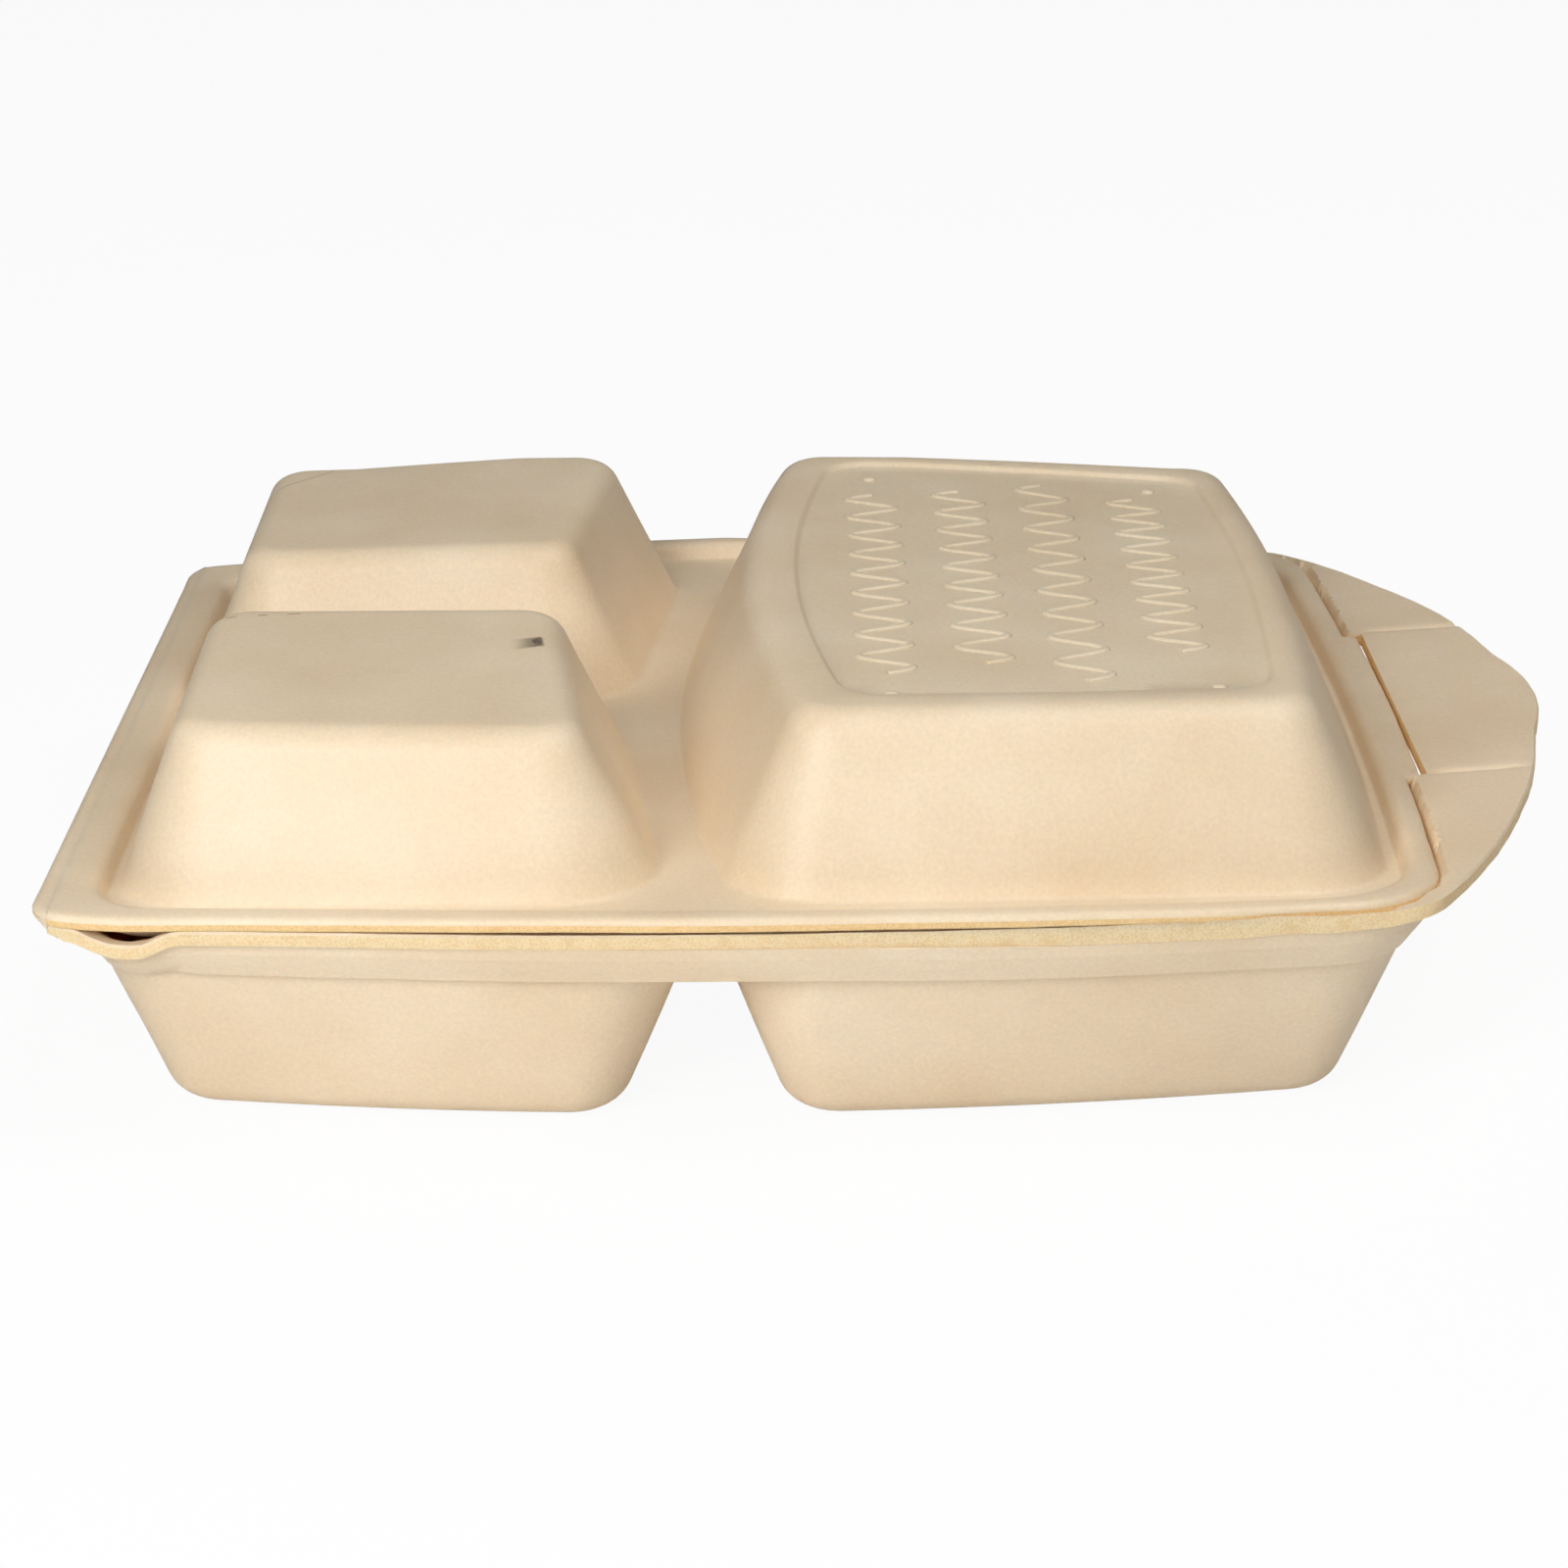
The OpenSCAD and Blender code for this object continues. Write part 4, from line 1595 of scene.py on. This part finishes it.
@dataclass(frozen=True)
class Relief:
    """Raised wave lines and dots pressed into the panel on the large dome."""

    columns: tuple[tuple[float, float, float], ...] = (
        (130.0, -2.7, 109.0), (145.7, 1.4, 107.0), (161.0, -0.8, 122.0), (177.0, 2.2, 97.0),
    )
    dots: tuple[tuple[float, float], ...] = (
        (130.0, 62.9), (130.4, -68.3), (180.6, 57.0), (181.3, -65.8),
    )
    waves: float = 9.0
    swing: float = 0.0042
    line: float = 0.00075
    height: float = 0.00042
    stud: float = 0.0013
    stud_height: float = 0.0006

    def _group(self, name: str, sizes: dict[str, float]) -> tuple[bpy.types.NodeTree, Tree]:
        """Start a geometry tree with named size inputs.

        Args:
            name: name of the tree.
            sizes: named inputs and their values.

        Returns:
            The node group and its tree.
        """
        group = bpy.data.node_groups.new(name, "GeometryNodeTree")
        group.interface.new_socket("Geometry", in_out="INPUT", socket_type="NodeSocketGeometry")
        for key, value in sizes.items():
            socket = group.interface.new_socket(key, in_out="INPUT", socket_type="NodeSocketFloat")
            socket.default_value = value
        group.interface.new_socket("Geometry", in_out="OUTPUT", socket_type="NodeSocketGeometry")
        return group, Tree(group)

    def _end(self, tree: Tree, shape: Socket, finish: bpy.types.Material) -> None:
        """End a tree with its shape dressed and shaded smooth."""
        dressed = tree.get("GeometryNodeSetMaterial", {"Geometry": shape, "Material": finish})
        tree.add("NodeGroupOutput", {0: tree.get("GeometryNodeSetShadeSmooth", {0: dressed})})

    def _wave_tree(self, finish: bpy.types.Material) -> bpy.types.NodeTree:
        """Tree that puts a waving line of unit length on each point.

        Args:
            finish: material of the lines.

        Returns:
            The node group.
        """
        group, tree = self._group("wave_lines", self._wave_sizes())
        given = tree.add("NodeGroupInput").outputs
        line = tree.get(
            "GeometryNodeCurvePrimitiveLine", {"Start": (0, -0.5, 0), "End": (0, 0.5, 0)}
        )
        points = tree.get("GeometryNodeResampleCurve", {"Curve": line, "Count": 240})
        along = tree.add("GeometryNodeSplineParameter").outputs["Factor"]
        angle = tree.calc("MULTIPLY", tree.calc("MULTIPLY", along, given["Waves"]), 2 * math.pi)
        wide = tree.calc("MULTIPLY", tree.calc("SINE", angle), given["Swing"])
        offset = tree.get("ShaderNodeCombineXYZ", {"X": wide})
        bent = tree.get("GeometryNodeSetPosition", {"Geometry": points, "Offset": offset})
        span = tree.get("GeometryNodeInputNamedAttribute", {"Name": "span"}, data_type="FLOAT")
        size = tree.get("ShaderNodeCombineXYZ", {"X": 1.0, "Y": span, "Z": 1.0})
        placed = tree.get(
            "GeometryNodeInstanceOnPoints", {"Points": given[0], "Instance": bent, "Scale": size}
        )
        real = tree.get("GeometryNodeRealizeInstances", {0: placed})
        ring = tree.get(
            "GeometryNodeCurvePrimitiveCircle", {"Resolution": 10, "Radius": given["Line"]}
        )
        tube = tree.get(
            "GeometryNodeCurveToMesh", {"Curve": real, "Profile Curve": ring, "Fill Caps": True}
        )
        self._end(tree, tube, finish)
        return group

    def _wave_sizes(self) -> dict[str, float]:
        """Named inputs of the wave lines."""
        return {"Waves": self.waves, "Swing": self.swing, "Line": self.line}

    def _stud_tree(self, finish: bpy.types.Material) -> bpy.types.NodeTree:
        """Tree that puts a small round stud on each point.

        Args:
            finish: material of the studs.

        Returns:
            The node group.
        """
        group, tree = self._group("panel_studs", {"Radius": self.stud})
        given = tree.add("NodeGroupInput").outputs
        ball = tree.get(
            "GeometryNodeMeshUVSphere", {"Segments": 16, "Rings": 8, "Radius": given["Radius"]}
        )
        placed = tree.get("GeometryNodeInstanceOnPoints", {"Points": given[0], "Instance": ball})
        self._end(tree, tree.get("GeometryNodeRealizeInstances", {0: placed}), finish)
        return group

    def _grown(
        self,
        name: str,
        spots: list[tuple[float, float, float]],
        group: bpy.types.NodeTree,
        sizes: dict[str, float],
    ) -> bpy.types.Object:
        """Run a tree on a few points and keep its result as a plain mesh.

        Args:
            name: name of the piece.
            spots: place along, place across and length of each, in millimetres.
            group: the node group.
            sizes: named inputs and their values.

        Returns:
            The new object.
        """
        seed = bpy.data.meshes.new(name + "_points")
        seed.from_pydata([(x / 1000, y / 1000, 0.0) for x, y, _ in spots], [], [])
        held = seed.attributes.new("span", "FLOAT", "POINT")
        held.data.foreach_set("value", [span / 1000 for _, _, span in spots])
        holder = in_scene(name, seed)
        modifier = holder.modifiers.new("grow", "NODES")
        modifier.node_group = group
        for key, value in sizes.items():
            modifier[socket_id(group, key)] = value
        graph = bpy.context.evaluated_depsgraph_get()
        made = bpy.data.meshes.new_from_object(holder.evaluated_get(graph), depsgraph=graph)
        made.name = name
        bpy.data.objects.remove(holder, do_unlink=True)
        bpy.data.meshes.remove(seed)
        return in_scene(name, made)

    def _laid(self, piece: bpy.types.Object, level: float, rise: float, deep: float) -> None:
        """Flatten a piece, set it on the panel and let it follow the arch.

        Args:
            piece: the piece, centred at height 0.
            level: height of the panel's floor in millimetres.
            rise: height of the piece above that floor, in metres.
            deep: half height of the piece before it is flattened, in metres.
        """
        count = len(piece.data.vertices)
        co = np.empty(count * 3)
        piece.data.vertices.foreach_get("co", co)
        co = co.reshape(-1, 3) * 1000
        co[:, 2] = level + co[:, 2] * rise / deep
        co = to_row(co, Body.LID)
        piece.data.vertices.foreach_set("co", co.ravel())
        piece.data.update()

    def build(self, lid: LidShell, finish: bpy.types.Material) -> list[bpy.types.Object]:
        """Build the lines and the studs.

        Args:
            lid: the lid that carries them.
            finish: the lid's skin.

        Returns:
            The two pieces.
        """
        floor = lid.top_z - lid.panel_depth
        lines = self._grown(
            "panel_waves", list(self.columns), self._wave_tree(finish), self._wave_sizes()
        )
        self._laid(lines, floor, self.height, self.line)
        spots = [(x, y, 0.0) for x, y in self.dots]
        studs = self._grown("panel_studs", spots, self._stud_tree(finish), {"Radius": self.stud})
        self._laid(studs, floor, self.stud_height, self.stud)
        for piece in (lines, studs):
            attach(piece, Body.LID.value)
        return [lines, studs]


@dataclass(frozen=True)
class Studio:
    """Camera, lights, floor and world."""

    camera_at: tuple[float, float, float] = (111.937, -687.220, 258.766)
    yaw: float = 0.166
    pitch: float = 18.80
    roll: float = -0.273
    lens: float = 4297.46 / 1600 * 36
    key: float = 4.15
    top: float = 4.0
    sky: float = 0.04
    floor_white: float = 0.94

    def _camera(self) -> None:
        """Place the camera at the photograph's angle."""
        yaw, pitch, roll = (math.radians(v) for v in (self.yaw, self.pitch, self.roll))
        ahead = Vector(
            (math.sin(yaw) * math.cos(pitch), math.cos(yaw) * math.cos(pitch), -math.sin(pitch))
        )
        right = ahead.cross(Vector((0, 0, 1))).normalized()
        up = right.cross(ahead)
        side = right * math.cos(roll) + up * math.sin(roll)
        top = -right * math.sin(roll) + up * math.cos(roll)
        data = bpy.data.cameras.new("camera")
        data.sensor_width = 36.0
        data.sensor_fit = "HORIZONTAL"
        data.lens = self.lens
        data.clip_start = 0.01
        data.clip_end = 50
        camera = in_scene("camera", data)
        turn = Matrix((side, top, -ahead)).transposed().to_4x4()
        x, y, z = self.camera_at
        turn.translation = Vector((x - SIZES.overall / 2, y, z)) / 1000
        camera.matrix_world = turn
        bpy.context.scene.camera = camera

    def _lamp(
        self, name: str, spot: tuple[float, float, float], aim: tuple[float, float, float],
        size: float, power: float,
    ) -> None:
        """Add a square area lamp.

        Args:
            name: name of the lamp.
            spot: place in metres.
            aim: point that it faces.
            size: edge of the square.
            power: power in watts.
        """
        data = bpy.data.lights.new(name, "AREA")
        data.size = size
        data.energy = power
        lamp = in_scene(name, data)
        lamp.location = spot
        lamp.rotation_euler = (Vector(aim) - Vector(spot)).to_track_quat("-Z", "Y").to_euler()

    def _floor(self) -> None:
        """Add the pale floor, which shows white with a soft shadow."""
        material, tree = new_material("studio_floor")
        seen = tree.add("ShaderNodeLightPath").outputs["Is Camera Ray"]
        share = tree.calc("MULTIPLY", seen, self.floor_white)
        matt = tree.get("ShaderNodeBsdfDiffuse", {"Color": (0.9, 0.9, 0.9, 1)})
        glow = tree.get("ShaderNodeEmission", {"Color": (1, 1, 1, 1), "Strength": 1.0})
        blend = tree.get("ShaderNodeMixShader", {0: share, 1: matt, 2: glow})
        tree.add("ShaderNodeOutputMaterial", {"Surface": blend})
        mesh = bpy.data.meshes.new("floor")
        work = bmesh.new()
        rings = []
        for y, z in [(-2.5, 0.0), (1.2, 0.0), (1.6, 0.08), (1.85, 0.35), (1.9, 2.6)]:
            rings.append([work.verts.new((x, y, z - 0.0002)) for x in (-3.0, 3.0)])
        for a, b in zip(rings, rings[1:]):
            work.faces.new((a[0], a[1], b[1], b[0]))
        work.to_mesh(mesh)
        work.free()
        mesh.shade_smooth()
        mesh.materials.append(material)
        floor = in_scene("floor", mesh)

    def _world(self) -> None:
        """Set an even pale world, white to the camera."""
        world = bpy.data.worlds.new("studio")
        world.use_nodes = True
        world.node_tree.nodes.clear()
        tree = Tree(world.node_tree)
        seen = tree.add("ShaderNodeLightPath").outputs["Is Camera Ray"]
        dim = tree.get(
            "ShaderNodeBackground", {"Color": (1.0, 0.985, 0.96, 1), "Strength": self.sky}
        )
        white = tree.get("ShaderNodeBackground", {"Color": (1, 1, 1, 1), "Strength": 1.0})
        blend = tree.get("ShaderNodeMixShader", {0: seen, 1: dim, 2: white})
        tree.add("ShaderNodeOutputWorld", {0: blend})
        bpy.context.scene.world = world

    def build(self) -> None:
        """Build the whole studio."""
        self._camera()
        self._lamp("key", (-0.28, -0.65, 0.42), (0.0, 0.0, 0.03), 0.35, self.key)
        self._lamp("top", (0.35, -0.15, 0.9), (0.0, 0.0, 0.03), 0.6, self.top)
        self._floor()
        self._world()
        bpy.context.scene.view_settings.view_transform = "Standard"


def main() -> None:
    """Build the pieces in order and report each one."""
    logging.basicConfig(level=logging.INFO, format="%(message)s")
    Studio().build()
    skin, cut = FoamSkin().make(), CutFoam().make()
    # A darker copy of the cut foam with painted shade, for the lid's cut edge and the slit's walls,
    # which stand in shadow.
    painted_shade_cut = CutFoam("cut_foam_painted_shade", pale=(240, 206, 153), deep=(230, 188, 130)).make()
    tray = TrayShell().build([skin, cut, painted_shade_cut])
    LOG.info("tray: %d faces", len(tray.data.polygons))
    lid = LidShell()
    shell = lid.build([skin, painted_shade_cut])
    LOG.info("lid: %d faces", len(shell.data.polygons))
    strip = FoldStrip().build([skin, cut])
    LOG.info("fold strip: %d faces", len(strip.data.polygons))
    for piece in Relief().build(lid, skin):
        LOG.info("%s: %d faces", piece.name, len(piece.data.polygons))


if __name__ == "__main__":
    main()
